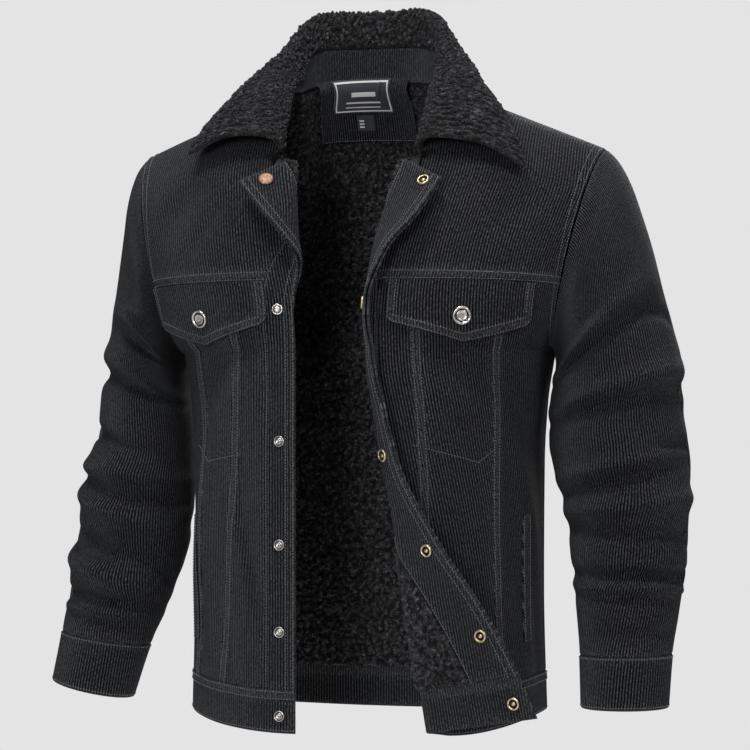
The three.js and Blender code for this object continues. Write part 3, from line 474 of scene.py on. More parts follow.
def sleeve_tube(name):
    side, arm, end = SIDES[name], ARM[name], CUFF[name][0]

    def place(angle, down):
        angle, down = np.broadcast_arrays(np.asarray(angle, float), np.asarray(down, float))
        out_x, out_z, in_x, in_z, y, deep = np.moveaxis(arm(down), -1, 0)
        c, s, turn = np.cos(np.radians(angle)), np.sin(np.radians(angle)), angle % 360
        depth = 0.0
        for at, where, span, slope, wide, deepest in CREASES[name]:
            off = down - at - slope * (turn - where)
            more, narrow = (FOLD_CUT, FOLD_NARROW) if deepest < 0 else (FOLD_SWELL, 1)
            wide = max(wide * narrow, FOLD_LEAST)
            fade = np.exp(-(((turn - where) / span) ** 2) - (off / wide) ** 2)
            depth = depth + more * deepest * fade
        depth = depth * smooth(0, 30, down) * smooth(0, 14, end - down)
        depth = depth * smooth(0, 25, np.abs(turn - 180) + 18)
        reach_x, reach_z = (out_x - in_x) / 2, (out_z - in_z) / 2
        swell = depth * np.where(c < 0, 0.35, 1) / np.hypot(reach_x, reach_z)
        return np.stack([
            side * ((out_x + in_x) / 2 + reach_x * c * (1 + swell)),
            y + (deep + depth) * s,
            (out_z + in_z) / 2 + reach_z * c,
        ], -1)

    return Cloth(place, -side, (2, 1.5))


def round_ring(name, angle, down):
    """Distance round a ring of the sleeve from its outer line, on its plain ellipse."""
    theta = np.radians(np.linspace(0, 180, 181))
    out_x, out_z, in_x, in_z, _, deep = np.moveaxis(ARM[name](down), -1, 0)
    reach = np.hypot(out_x - in_x, out_z - in_z)[..., None] / 2
    speed = np.sqrt((reach * np.sin(theta)) ** 2 + (deep[..., None] * np.cos(theta)) ** 2)
    length = np.concatenate([np.zeros_like(speed[..., :1]), np.cumsum(speed[..., 1:], -1)], -1)
    length *= math.radians(1)
    turn = (np.asarray(angle) + 180) % 360 - 180
    turn = np.where(np.asarray(angle) > 539.99, 180.0, turn)
    i = np.clip(np.abs(turn), 0, 180)
    low = np.minimum(i.astype(int), 179)
    part = i - low
    picked = np.take_along_axis(length, low[..., None], -1)[..., 0] * (1 - part)
    picked += np.take_along_axis(length, low[..., None] + 1, -1)[..., 0] * part
    return np.sign(turn) * picked


SLEEVES = {name: sleeve_tube(name) for name in SIDES}
for name, cloth in SLEEVES.items():
    print(name, "sleeve's outer line ends at", [round(x) for x in cloth.at(0, CUFF[name][1])], "mm")

# %% [markdown]
# ## The collar
# The collar stands up from the neck seam, rolls over and falls outwards. Like the body, it is one
# sheet with all its layers read from it. A point is given by how far round it lies, from -1 at
# the wearer's right to 1 at the left, and by the share of the collar's width, along a curve that
# passes through the seam, the roll and the outer edge.

# %% The collar
# Share round from the back, then a point of the roll and a point of the outer edge
COLLAR = {
    "right": table(
        (0, 18, 78, 88, 20, 112, 28), (0.2, 62, 68, 88, 72, 104, 26), (0.33, 84, 46, 72, 98, 80, 16),
        (0.45, 91, 18, 47, 114, 42, 2), (0.6, 96, -20, 16, 140, -8, -18),
        (0.8, 92, -68, -24, 162, -58, -48), (1, 82, -110, -66, 168, -104, -80),
    ),
    "left": table(
        (0, -18, 78, 88, -20, 112, 28), (0.2, 40, 68, 88, 46, 104, 26), (0.33, 66, 46, 75, 78, 82, 20),
        (0.45, 80, 16, 50, 98, 44, 6), (0.6, 91, -20, 16, 124, -4, -12),
        (0.8, 92, -68, -26, 160, -54, -48), (1, 88, -110, -70, 186, -102, -102),
    ),
}
COLLAR_LIFT, COLLAR_BULGE, NECK_SHARE = 2.4, 9, 0.45
# The stand's lower edge reaches a little below the seam behind the neck
NECK_TAPE, NECK_TAPE_IN, NECK_TAPE_SHARE = 7, 3, 0.06


def catmull(p0, p1, p2, p3, t):
    """A centripetal curve from p1 to p2, for arrays of points."""
    def gap(a, b):
        return np.sqrt(np.linalg.norm(b - a, axis=-1, keepdims=True))

    d0, d1, d2 = gap(p0, p1), gap(p1, p2), gap(p2, p3)
    m1 = ((p1 - p0) / d0 - (p2 - p0) / (d0 + d1) + (p2 - p1) / d1) * d1
    m2 = ((p2 - p1) / d1 - (p3 - p1) / (d1 + d2) + (p3 - p2) / d2) * d1
    square, cube = 3 * (p2 - p1) - 2 * m1 - m2, 2 * (p1 - p2) + m1 + m2
    return p1 + m1 * t + square * t**2 + cube * t**3


def collar_sheet():
    def seam(round_it):
        side, share = np.where(round_it < 0, -1.0, 1.0), np.abs(round_it)
        turn = np.radians(np.minimum(share / NECK_SHARE, 1) * 90)
        s, c = np.sin(turn), np.cos(turn)
        x, y, _ = ROLL["left"](0)
        across, behind, up = NECK_BACK
        back = np.stack([side * x * s + across * c * c, y + behind * c, up * c], -1)
        level = np.clip((share - NECK_SHARE) / (1 - NECK_SHARE), 0, 1) * NECK_END
        front = np.where((side > 0)[..., None], ROLL["left"](level), ROLL["right"](level))
        front = front * np.stack([side, side * 0 + 1, side * 0 + 1], -1)
        return np.where((share <= NECK_SHARE)[..., None], back, front) + [0, 0, COLLAR_LIFT]

    def place(round_it, share):
        round_it, share = np.broadcast_arrays(np.asarray(round_it, float), np.asarray(share, float))
        side = np.where(round_it < 0, -1.0, 1.0)
        whole = np.clip(np.abs(round_it), 0, 1)
        r = np.where((side > 0)[..., None], COLLAR["left"](whole), COLLAR["right"](whole))
        flip = np.stack([side, side * 0 + 1, side * 0 + 1], -1)
        foot, roll, edge = seam(np.clip(round_it, -1, 1)), r[..., :3] * flip, r[..., 3:] * flip
        away = (edge - foot) * [1, 1, 0]
        away /= np.linalg.norm(away, axis=-1, keepdims=True)
        stand = lerp(foot, roll, 0.55) - away * 3
        fall = lerp(roll, edge, 0.5) + away * COLLAR_BULGE * 0.7 + [0, 0, COLLAR_BULGE]
        path = [2 * foot - stand, foot, stand, roll, fall, edge, 2 * edge - fall]
        spot = np.clip(share, 0, 1) * 4
        i = np.minimum(spot.astype(int), 3)
        curve = 0.0
        for k in range(4):
            here = (i == k)[..., None]
            curve = curve + np.where(here, catmull(*path[k:k + 4], (spot - i)[..., None]), 0)
        past = np.clip(share - 1, 0, None)[..., None]
        beyond = np.clip(np.abs(round_it) - 1, 0, None)[..., None]
        curve = curve + (edge - fall) * 2.2 * past
        below = np.clip(-share / NECK_TAPE_SHARE, 0, 1.2)
        below = below * (1 - smooth(NECK_SHARE + 0.02, NECK_SHARE + 0.2, np.abs(round_it)))
        curve = curve - (away * NECK_TAPE_IN + [0, 0, NECK_TAPE]) * below[..., None]
        if np.any(beyond > 0):
            inner = place(np.clip(round_it, -1, 1), share)
            before = place(np.clip(round_it, -0.97, 0.97), share)
            curve = inner + (inner - before) / 0.03 * beyond
        return curve

    return Cloth(place, 1, (0.01, 0.01))


COLLAR_CLOTH = collar_sheet()
COLLAR_LENGTH, COLLAR_DEPTH = 660, 118
print("the collar is about", COLLAR_LENGTH, "by", COLLAR_DEPTH, "mm")

# %% [markdown]
# ## Materials
# A finish could be a picture of cloth, but a picture repeats and blurs. These are made of nodes,
# which stay sharp at any size, and a small helper makes and links a node in one call.


# %% Helpers for node materials
class Nodes:
    """Builds a material's nodes; each call makes one node and links its inputs."""

    def __init__(self, name):
        self.material = bpy.data.materials.new(name)
        self.material.use_nodes = True
        self.tree = self.material.node_tree
        self.shader = self.tree.nodes["Principled BSDF"]

    def link(self, source, socket):
        if isinstance(source, (int, float, tuple)):
            socket.default_value = source
        else:
            self.tree.links.new(source, socket)

    def node(self, kind, inputs=(), output=0, **settings):
        made = self.tree.nodes.new(kind)
        for key, value in settings.items():
            setattr(made, key, value)
        for key, value in dict(inputs).items():
            self.link(value, made.inputs[key])
        return made.outputs[output]

    def math(self, operation, a, b=0.0):
        return self.node("ShaderNodeMath", {0: a, 1: b}, operation=operation)

    def noise(self, vector, scale, detail=3.0, rough=0.5):
        inputs = {"Vector": vector, "Scale": scale, "Detail": detail, "Roughness": rough}
        return self.node("ShaderNodeTexNoise", inputs)

    def scaled(self, vector, x, y, z):
        return self.node("ShaderNodeVectorMath", {0: vector, 1: (x, y, z)}, operation="MULTIPLY")

    def spread(self, value, low, high, to_low, to_high):
        inputs = {0: value, 1: low, 2: high, 3: to_low, 4: to_high}
        return self.node("ShaderNodeMapRange", inputs)

    def mix(self, share, a, b):
        inputs = {0: share, 6: a, 7: b}
        return self.node("ShaderNodeMix", inputs, output=2, data_type="RGBA")

    def attribute(self, name):
        return self.node("ShaderNodeAttribute", output=2, attribute_name=name)

    def bump(self, height, distance, strength=1.0, normal=None):
        inputs = {"Height": height, "Distance": distance, "Strength": strength}
        if normal is not None:
            inputs["Normal"] = normal
        return self.node("ShaderNodeBump", inputs)

    def finish(self, color, roughness, normal=None, **constants):
        self.link(color, self.shader.inputs["Base Color"])
        self.link(roughness, self.shader.inputs["Roughness"])
        if normal is not None:
            self.link(normal, self.shader.inputs["Normal"])
        for key, value in constants.items():
            title = key.replace("_", " ").title().replace("Ior", "IOR")
            self.shader.inputs[title].default_value = value
        return self.material


print("helpers for nodes are ready")

# %% [markdown]
# ## Corduroy
# Corduroy is a cloth with upright cords of cut pile, the wales. They run down every piece, so the
# pattern reads each piece's own map, where one unit is one metre of cloth. Cords cut in the mesh
# would need millions of faces, so a sine wave draws them: it bumps each cord so that light catches
# its top, and paints the groove near black as painted shade. Seams and edges, named by an
# attribute, are flatter, with less painted groove shade, and a little paler.

# %% Corduroy
WALE, WALE_WOBBLE = 0.0031, 0.0022
# The first colour is painted shade for the grooves between cords; the second is the nap's random darker
# tone
GROOVE_SHADE, NAP_SHADE = (0.0008, 0.0009, 0.0011, 1), (0.014, 0.0147, 0.0165, 1)
RIDGE, RIDGE_PALE = (0.043, 0.0452, 0.0490, 1), (0.078, 0.0814, 0.0875, 1)
WORN = (0.13, 0.134, 0.142, 1)
CLOTH_SHEEN = (0.75, 0.78, 0.85, 1)


def corduroy_material():
    n = Nodes("charcoal_corduroy")
    weave = n.node("ShaderNodeUVMap", uv_map="cloth")
    wobble = n.math("MULTIPLY", n.math("SUBTRACT", n.noise(weave, 14, 2), 0.5), WALE_WOBBLE)
    across = n.math("ADD", n.node("ShaderNodeSeparateXYZ", {0: weave}), wobble)
    wave = n.math("ABSOLUTE", n.math("SINE", n.math("MULTIPLY", across, math.pi / WALE)))
    cord = n.math("POWER", wave, 0.8)
    nap = n.noise(n.scaled(weave, 1.0, 0.4, 1.0), 820, 3, 0.65)
    drift = n.noise(weave, 26, 4, 0.6)
    seam = n.attribute("seam")
    pucker = n.math("MULTIPLY", n.noise(weave, 170, 1), seam)
    ridge = n.mix(drift, RIDGE, RIDGE_PALE)
    worn = n.mix(n.math("MULTIPLY", seam, 0.35), ridge, WORN)
    patchy = n.mix(n.spread(nap, 0.42, 0.62, 1.0, 0.0), worn, NAP_SHADE)
    # Painted shade: the colour falls to near black in each groove, less so on the flatter seams
    flat = n.math("MULTIPLY", n.math("POWER", seam, 4.0), 0.85)
    unshaded_share = n.math("MAXIMUM", n.spread(wave, 0.52, 1.0, 0.0, 1.0), n.math("MULTIPLY", flat, 0.5))
    color = n.mix(unshaded_share, GROOVE_SHADE, patchy)
    height = n.math("ADD", cord, n.math("MULTIPLY", nap, 0.5))
    low = n.bump(pucker, 0.0026, 1.0)
    fine = n.bump(height, 0.0012, 1.0, low)
    return n.finish(
        color, n.spread(nap, 0.2, 0.8, 0.8, 0.98), fine, sheen_weight=0.05,
        sheen_roughness=0.4, sheen_tint=CLOTH_SHEEN, specular_ior_level=0.06,
    )


CORDUROY = corduroy_material()
print("corduroy wales are", WALE / MM, "mm wide")

# %% [markdown]
# ## Sherpa's finish
# Sherpa is matte curly pile. The mesh gives it its locks, and the finish adds the curls within
# them, as two sizes of cells whose places are stirred by noise, bumped, with a painted highlight in
# the middle of each cell and painted shade at its edge. The locks' height and tone come as
# attributes: the higher locks get a painted highlight and the hollows between them painted shade,
# dark from any side.

# %% Sherpa's finish
CURL_STIR = 0.011
# The first colour is painted shade for the hollows between locks and curls
HOLLOW_SHADE = (0.0022, 0.0022, 0.0027, 1)
PILE_DARK, PILE_PALE = (0.034, 0.035, 0.039, 1), (0.118, 0.120, 0.130, 1)


def sherpa_material():
    n = Nodes("curly_sherpa")
    place = n.node("ShaderNodeTexCoord", output=3)
    swirl = n.node("ShaderNodeTexNoise", {"Vector": place, "Scale": 150.0, "Detail": 2.0}, output=1)
    centred = n.node("ShaderNodeVectorMath", {0: swirl, 1: (0.5, 0.5, 0.5)}, operation="SUBTRACT")
    push = n.scaled(centred, CURL_STIR, CURL_STIR, CURL_STIR)
    curled = n.node("ShaderNodeVectorMath", {0: place, 1: push}, operation="ADD")
    large = n.node("ShaderNodeTexVoronoi", {"Vector": curled, "Scale": 215.0})
    small = n.node("ShaderNodeTexVoronoi", {"Vector": curled, "Scale": 520.0})
    curl = n.math("SUBTRACT", n.spread(large, 0.08, 0.62, 1.0, 0.0), n.math("MULTIPLY", small, 0.45))
    fibre = n.noise(curled, 1500, 2, 0.7)
    depth, tone = n.attribute("lock"), n.attribute("tone")
    top = n.mix(tone, PILE_DARK, PILE_PALE)
    # Painted light: curl middles and higher locks are lighter, hollows and curl edges near black
    lit, raised = n.spread(curl, 0.05, 0.75, 0.0, 0.72), n.spread(depth, 0.2, 0.9, -0.12, 0.28)
    color = n.mix(n.math("ADD", lit, raised), HOLLOW_SHADE, top)
    coarse = n.bump(curl, 0.0032, 1.0)
    fine = n.bump(fibre, 0.0007, 0.8, coarse)
    return n.finish(
        color, 0.95, fine, sheen_weight=0.1,
        sheen_roughness=0.4, sheen_tint=(0.8, 0.8, 0.86, 1), specular_ior_level=0.18,
    )


SHERPA = sherpa_material()
print("made", SHERPA.name)

# %% [markdown]
# ## Tape, thread and metals
# The labels are woven tape with a pale border and plain bars, and they carry no words. The bars
# are boxes in the tape's own map. Thread is a twisted cord that shines a little, and the snaps
# and buttons are old metal, bright on top, stained in patches and dark in their hollows.

# %% Woven tape, thread and metals
def tape_material(name, lines):
    """Woven tape in its own map from 0 to 1: lines are boxes that are woven in pale thread."""
    n = Nodes(name)
    uv = n.node("ShaderNodeUVMap", uv_map="tape")
    split = n.tree.nodes.new("ShaderNodeSeparateXYZ")
    n.link(uv, split.inputs[0])
    x, y = split.outputs[0], split.outputs[1]
    pale = 0.0
    for x0, y0, x1, y1 in lines:
        inside = n.math("MULTIPLY", n.math("GREATER_THAN", x, x0), n.math("LESS_THAN", x, x1))
        level = n.math("MULTIPLY", n.math("GREATER_THAN", y, y0), n.math("LESS_THAN", y, y1))
        pale = n.math("MAXIMUM", n.math("MULTIPLY", inside, level), pale)
    weave = n.noise(n.scaled(uv, 1.0, 2.2, 1.0), 260, 2, 0.6)
    dark = n.mix(weave, (0.008, 0.009, 0.012, 1), (0.022, 0.024, 0.03, 1))
    light = n.mix(weave, (0.38, 0.38, 0.38, 1), (0.62, 0.62, 0.62, 1))
    return n.finish(n.mix(pale, dark, light), 0.75, n.bump(weave, 0.0003, 0.6), sheen_weight=0.15)


def thread_material():
    n = Nodes("topstitch_thread")
    place = n.node("ShaderNodeTexCoord", output=3)
    twist = n.noise(place, 2600, 2, 0.6)
    color = n.mix(twist, (0.045, 0.047, 0.052, 1), (0.120, 0.123, 0.130, 1))
    return n.finish(color, 0.6, n.bump(twist, 0.0002, 0.6), sheen_weight=0.3)


def metal_material(name, bright, dark, roughness):
    n = Nodes(name)
    place = n.node("ShaderNodeTexCoord", output=3)
    stain = n.noise(place, 420, 4, 0.65)
    hollow = n.attribute("hollow")
    color = n.mix(n.spread(stain, 0.35, 0.75, 0.0, 1.0), bright, dark)
    color = n.mix(hollow, color, (0.02, 0.018, 0.016, 1))
    fine = n.bump(n.noise(place, 1500, 2), 0.0001, 0.5)
    rough = n.spread(stain, 0.3, 0.8, roughness, roughness + 0.22)
    return n.finish(color, rough, fine, metallic=1.0)


THREAD = thread_material()
STEEL = metal_material("aged_silver", (0.62, 0.60, 0.58, 1), (0.30, 0.28, 0.27, 1), 0.24)
COPPER = metal_material("dull_copper", (0.30, 0.175, 0.125, 1), (0.12, 0.072, 0.055, 1), 0.46)
BRASS = metal_material("pale_brass", (0.72, 0.60, 0.40, 1), (0.36, 0.28, 0.17, 1), 0.24)
BORDER = 0.035
LABEL = tape_material("woven_label_tape", [
    (0.03, 0.06, 0.97, 0.06 + BORDER * 1.6), (0.03, 0.94 - BORDER * 1.6, 0.97, 0.94),
    (0.03, 0.06, 0.03 + BORDER * 0.7, 0.94), (0.97 - BORDER * 0.7, 0.06, 0.97, 0.94),
    (0.22, 0.26, 0.78, 0.30), (0.22, 0.40, 0.78, 0.44), (0.30, 0.56, 0.70, 0.66),
])
TAB = tape_material("size_tape", [(0.14, 0.2 + 0.2 * k, 0.42, 0.3 + 0.2 * k) for k in range(3)])
print("materials", len(bpy.data.materials))

# %% [markdown]
# ## Cutting a piece
# A cut piece is a wall between two offsets from its sheet. A Solidify modifier would give every
# place one thickness, and here the outer face has seams and curls that the inner face hasn't, so
# the two are made apart: a fine net outside, a coarse one inside where no one sees it, and a rim
# round the edge that closes them. Free edges are rounded off by letting both faces draw together
# over the last few millimetres.


# %% A wall from a sheet
PIECES = {}


def make_mesh(name, points, faces, material):
    mesh = bpy.data.meshes.new(name)
    mesh.from_pydata((points * MM).tolist(), [], faces)
    mesh.materials.append(material)
    mesh.validate()
    mesh.shade_smooth()
    made = bpy.data.objects.new(name, mesh)
    bpy.context.collection.objects.link(made)
    return made


def paint(made, name, values):
    layer = made.data.attributes.new(name, "FLOAT", "POINT")
    layer.data.foreach_set("value", np.asarray(values, np.float32).ravel())


def measure(net):
    """Widest row, longest column and area of a net of points, in metres."""
    rows = np.linalg.norm(np.diff(net, axis=1), axis=-1).sum(1)
    columns = np.linalg.norm(np.diff(net, axis=0), axis=-1).sum(0)
    a, b = net[1:, 1:] - net[:-1, :-1], net[1:, :-1] - net[:-1, 1:]
    area = np.linalg.norm(np.cross(a, b), axis=-1).sum() / 2
    return rows.max() * MM, columns.max() * MM, area * MM * MM


def wall(
    name, cloth, u, v, outer, inner, material, uv, coarse=1, closed=False, uv_name="cloth", layers=(),
):
    """A closed piece: u, v, outer, inner and the map are nets of numbers of one shape."""
    rows, columns = u.shape
    outer, inner = (np.broadcast_to(np.asarray(x, float), u.shape) for x in (outer, inner))
    used = columns - 1 if closed else columns
    front = cloth.at(u, v, outer)[:, :used]
    keep_r = np.unique(np.append(np.arange(0, rows, coarse), rows - 1))
    keep_c = np.unique(np.append(np.arange(0, columns, coarse), columns - 1))
    keep_used = keep_c[:-1] if closed else keep_c
    kept = np.ix_(keep_r, keep_c)
    back = cloth.at(u[kept], v[kept], inner[kept])[:, :len(keep_used)]
    points = np.concatenate([front.reshape(-1, 3), back.reshape(-1, 3)])
    base, wide = rows * used, len(keep_used)

    def f(i, j):
        return j * used + (i % used if closed else i)

    def b(a, c):
        return base + c * wide + (a % wide if closed else a)

    faces, corners = [], []

    def add(vertices, spots):
        faces.append(vertices)
        corners.append(spots)

    for j in range(rows - 1):
        for i in range(columns - 1):
            add([f(i, j), f(i + 1, j), f(i + 1, j + 1), f(i, j + 1)],
                [(i, j), (i + 1, j), (i + 1, j + 1), (i, j + 1)])
    for c in range(len(keep_r) - 1):
        for a in range(len(keep_c) - 1):
            i0, i1, j0, j1 = keep_c[a], keep_c[a + 1], keep_r[c], keep_r[c + 1]
            add([b(a, c), b(a, c + 1), b(a + 1, c + 1), b(a + 1, c)],
                [(i0, j0), (i0, j1), (i1, j1), (i1, j0)])
    for j, c, up in ((0, 0, False), (rows - 1, len(keep_r) - 1, True)):
        for a in range(len(keep_c) - 1):
            run = list(range(keep_c[a], keep_c[a + 1] + 1))
            vertices = [b(a, c), b(a + 1, c)] + [f(i, j) for i in reversed(run)]
            spots = [(run[0], j), (run[-1], j)] + [(i, j) for i in reversed(run)]
            add(vertices[::-1] if up else vertices, spots[::-1] if up else spots)
    if not closed:
        for i, a, up in ((0, 0, True), (columns - 1, len(keep_c) - 1, False)):
            for c in range(len(keep_r) - 1):
                run = list(range(keep_r[c], keep_r[c + 1] + 1))
                vertices = [b(a, c), b(a, c + 1)] + [f(i, j) for j in reversed(run)]
                spots = [(i, run[0]), (i, run[-1])] + [(i, j) for j in reversed(run)]
                add(vertices[::-1] if up else vertices, spots[::-1] if up else spots)
    if cloth.out < 0:
        faces, corners = [x[::-1] for x in faces], [x[::-1] for x in corners]
    made = make_mesh(name, points, faces, material)
    layer = made.data.uv_layers.new(name=uv_name)
    spots = np.array([s for face in corners for s in face])
    values = np.stack([uv[0][spots[:, 1], spots[:, 0]], uv[1][spots[:, 1], spots[:, 0]]], 1)
    if uv_name == "cloth":
        values = values * MM
    layer.data.foreach_set("uv", values.astype(np.float32).ravel())
    for key, net in dict(layers).items():
        net = np.broadcast_to(np.asarray(net, float), u.shape)
        inside = net[np.ix_(keep_r, keep_used)]
        paint(made, key, np.concatenate([net[:, :used].ravel(), inside.ravel()]))
    flat = measure(cloth.at(u, v, (outer.mean() + inner.mean()) / 2))
    PIECES[name] = {"object": made, "flat": flat}
    return made


def shares(width, pitch, ends=(0.7, 2.2)):
    """Shares from 0 to 1 at an even pitch, with closer ones near both ends."""
    count = max(int(round(width / pitch)), 3)
    marks = np.linspace(0, 1, count + 1)
    near = np.array([e / width for e in ends])
    inner = marks[(marks > near.max() * 1.4) & (marks < 1 - near.max() * 1.4)]
    return np.concatenate([[0], near, inner, 1 - near[::-1], [1]])


# Distance down the cloth from the shoulder seam to the underarm
ARM_DOWN = 300


def level_mm(level):
    """Distance down the cloth at a level, measured from the shoulder seam."""
    level = np.asarray(level, float)
    return np.where(level < 1, level * ARM_DOWN, ARM_DOWN + (level - 1) * LEVEL_HEIGHT)


def mm_level(down):
    """The level at a distance down the cloth."""
    down = np.asarray(down, float)
    return np.where(down < ARM_DOWN, down / ARM_DOWN, 1 + (down - ARM_DOWN) / LEVEL_HEIGHT)


print("the yoke seam is", float(level_mm(YOKE)), "mm down the front")

# %% [markdown]
# ## The corduroy panels
# Each panel is read between two seams and two levels. A felled seam leaves a raised strip beside
# it, where three layers of cloth lie on each other between the two rows of thread. The strip and
# the dip at each seam are added to the net's height, because they catch the light.

# %% Panels of the body
# Width of a felled strip, its height, and the run over which it ends
FELL, FELL_RISE, FELL_RUN = 10.0, 0.75, 0.6
SEAM_DIP, SEAM_RUN = 1.0, 1.3
EDGE_SHARES = (0.7, 2.2)
PITCH = 3.4


def rounded(distance, radius):
    """0 away from an edge, rising to 1 at it, along a quarter circle."""
    return 1 - np.sqrt(1 - (1 - np.clip(distance / radius, 0, 1)) ** 2)


def net_between(start, end, levels, across):
    """Nets of the distance across, the level and the distance down, between two seams."""
    low = np.array([start(w) for w in levels])[:, None]
    high = np.array([end(w) for w in levels])[:, None]
    u = low + (high - low) * across[None, :]
    v = np.repeat(levels[:, None], len(across), 1)
    return low, high, u, v, np.repeat(level_mm(levels)[:, None], len(across), 1)


def panel(name, cloth, start, end, top, bottom, outer=0.0, inner=-SHELL, fell="", free="", coarse=3):
    """A panel from start(level) to end(level); fell and free name edges of it: l, r, t and b."""
    down = level_mm(np.array([top, bottom]))
    widest = max(end(w) - start(w) for w in np.linspace(top, bottom, 9))
    ends = (*EDGE_SHARES, FELL - 1, FELL + FELL_RUN)
    felled_sides = set(fell) & set("lr") and widest > 45
    across = shares(widest, PITCH, ends if felled_sides else EDGE_SHARES)
    along = shares(down[1] - down[0], PITCH, ends if set(fell) & set("tb") else EDGE_SHARES)
    levels = mm_level(lerp(down[0], down[1], along))
    low, high, u, v, mm = net_between(start, end, levels, across)
    u = u + GAP / 2 * (1 - 2 * across[None, :])
    edges = {"l": u - low, "r": high - u, "t": mm - down[0], "b": down[1] - mm}
    lift, seam = np.zeros_like(u), np.zeros_like(u)
    for side, distance in edges.items():
        if side in free:
            seam = np.maximum(seam, np.exp(-((distance / 9) ** 2)))
        else:
            lift -= SEAM_DIP * np.exp(-((distance / SEAM_RUN) ** 2))
            seam = np.maximum(seam, 0.8 * np.exp(-((distance / 7) ** 2)))
        if side in fell:
            lift += FELL_RISE * (1 - smooth(FELL - 1, FELL + FELL_RUN, distance))
            seam = np.maximum(seam, 1 - smooth(FELL - 1, FELL + 6, distance))
    middle = (outer + inner) / 2
    close = np.zeros_like(u)
    for side in free:
        close = np.maximum(close, rounded(edges[side], (outer - inner) * 0.6))
    face = lerp(outer + lift, middle, close * 0.8)
    back = lerp(np.full_like(u, inner), middle, close * 0.8)
    return wall(name, cloth, u, v, face, back, CORDUROY, (u, mm), coarse, layers={"seam": seam})


print("panels are netted every", PITCH, "mm")

# %% Cutting the panels
# Level, then the distance of a seam from the roll line, or from the middle of the back
INNER_SEAM = {
    "right": table((0.74, 69), (1.2, 77), (2, 102)),
    "left": table((0.74, 40), (1, 40), (1.3, 28), (1.5, 16), (1.7, 14), (2, 14)),
}
OUTER_SEAM = {
    "right": table((0.74, 128), (1.2, 132), (2, 148)),
    "left": table((0.74, 118), (1, 118), (1.5, 86), (2, 60)),
}
back_seam = table((0.6, 104), (1.3, 86), (2, 76))


def seams_of(name):
    """The lines that the fronts' pieces run between, as functions of the level."""
    cloth = SHEETS[name]

    def stand(level):
        return 0.5 if level < NECK_END else float(cloth.first(level)) + PLACKET

    return {
        "edge": lambda w: float(cloth.first(w)),
        "stand": stand,
        "facing": lambda w: stand(w) + FACING - PLACKET,
        "inner": lambda w: float(INNER_SEAM[name](w)[0]),
        "outer": lambda w: float(OUTER_SEAM[name](w)[0]),
        "side": lambda w: float(cloth.last(w)),
    }


for name in SIDES:
    cloth, s = SHEETS[name], seams_of(name)
    panel(f"{name}_front_yoke_cloth", cloth, s["stand"], s["side"], 0.002, YOKE, fell="b")
    panel(f"{name}_front_centre_cloth", cloth, s["stand"], s["inner"], YOKE, BAND_TOP, fell="r")
    panel(f"{name}_front_middle_cloth", cloth, s["inner"], s["outer"], YOKE, BAND_TOP)
    panel(f"{name}_front_side_cloth", cloth, s["outer"], s["side"], YOKE, BAND_TOP, fell="l")
    panel(f"{name}_placket_cloth", cloth, s["edge"], s["stand"], NECK_END, BAND_TOP, free="lt", coarse=2)
    panel(
        f"{name}_facing_cloth", cloth, s["edge"], s["facing"], NECK_END, BAND_TOP,
        FACING_OUT, FACING_IN, free="lrt", coarse=1,
    )
    panel(
        f"{name}_hem_band_cloth", cloth, s["edge"], s["side"], BAND_TOP, 2,
        0.2, 0.2 - BAND, free="lb", fell="t", coarse=1,
    )

back = SHEETS["back"]
first, last = (lambda w: float(back.first(w))), (lambda w: float(back.last(w)))
seam_right, seam_left = (lambda w: -float(back_seam(w)[0])), (lambda w: float(back_seam(w)[0]))
panel("back_yoke_cloth", back, first, last, 0.002, BACK_YOKE, fell="b")
panel("back_right_cloth", back, first, seam_right, BACK_YOKE, BAND_TOP)
panel("back_centre_cloth", back, seam_right, seam_left, BACK_YOKE, BAND_TOP, fell="lr")
panel("back_left_cloth", back, seam_left, last, BACK_YOKE, BAND_TOP)
panel(
    "back_hem_band_cloth", back, first, last, BAND_TOP, 2, 0.2, 0.2 - BAND,
    free="b", fell="t", coarse=1,
)
print("panels", len(PIECES), "faces", sum(len(p["object"].data.polygons) for p in PIECES.values()))

# %% [markdown]
# ## Sleeves and cuffs
# The tube's map starts and ends at the underarm, so the wales run straight down from the shoulder
# and meet at the underarm seam, as they do on a sleeve that was cut flat.


# %% Sleeves
ARMHOLE_EASE, RING_POINTS = 1.6, 132


def tube(name, piece, start, end, outer, inner, free="", coarse=1):
    """A closed tube of cloth, from one distance down the arm to another."""
    cloth, count = SLEEVES[name], RING_POINTS
    along = shares(end - start, PITCH)
    angle = np.repeat(np.linspace(180, 540, count + 1)[None, :], len(along), 0)
    down = np.repeat(lerp(start, end, along)[:, None], count + 1, 1)
    edges = {"t": down - start, "b": end - down}
    lift, close, seam = np.zeros_like(down), np.zeros_like(down), np.zeros_like(down)
    for side, distance in edges.items():
        seam = np.maximum(seam, np.exp(-((distance / 8) ** 2)))
        if side in free:
            close = np.maximum(close, rounded(distance, (outer - inner) * 0.6))
        else:
            lift -= 0.9 * np.exp(-((distance / SEAM_RUN) ** 2))
    middle = (outer + inner) / 2
    face = lerp(outer + lift, middle, close * 0.8)
    under = lerp(inner + 0 * lift, middle, close * 0.8)
    ring = round_ring(name, angle, down)
    return wall(
        f"{name}_{piece}", cloth, angle, down, face, under, CORDUROY, (ring, down), coarse,
        closed=True, layers={"seam": seam},
    )


for name, (cuff, end) in CUFF.items():
    tube(name, "sleeve_cloth", ARMHOLE_EASE, cuff - GAP / 2, 0, -SHELL, coarse=3)
    tube(name, "cuff_cloth", cuff + GAP / 2, end, 0.8, 0.8 - BAND, free="b")
print("tubes made, pieces", len(PIECES))

# %% [markdown]
# ## Sherpa
# Sherpa is a knitted backing with a pile that has felted into short curly locks. Strands of hair
# would need millions of faces, so each lock here is a low rounded worm in the net, at its own
# angle. The highest lock at a place shows, and its height and tone are kept as attributes, so
# the material can paint shade into the hollows between them and a highlight onto the higher locks.


# %% Locks of pile
REPEAT = 89


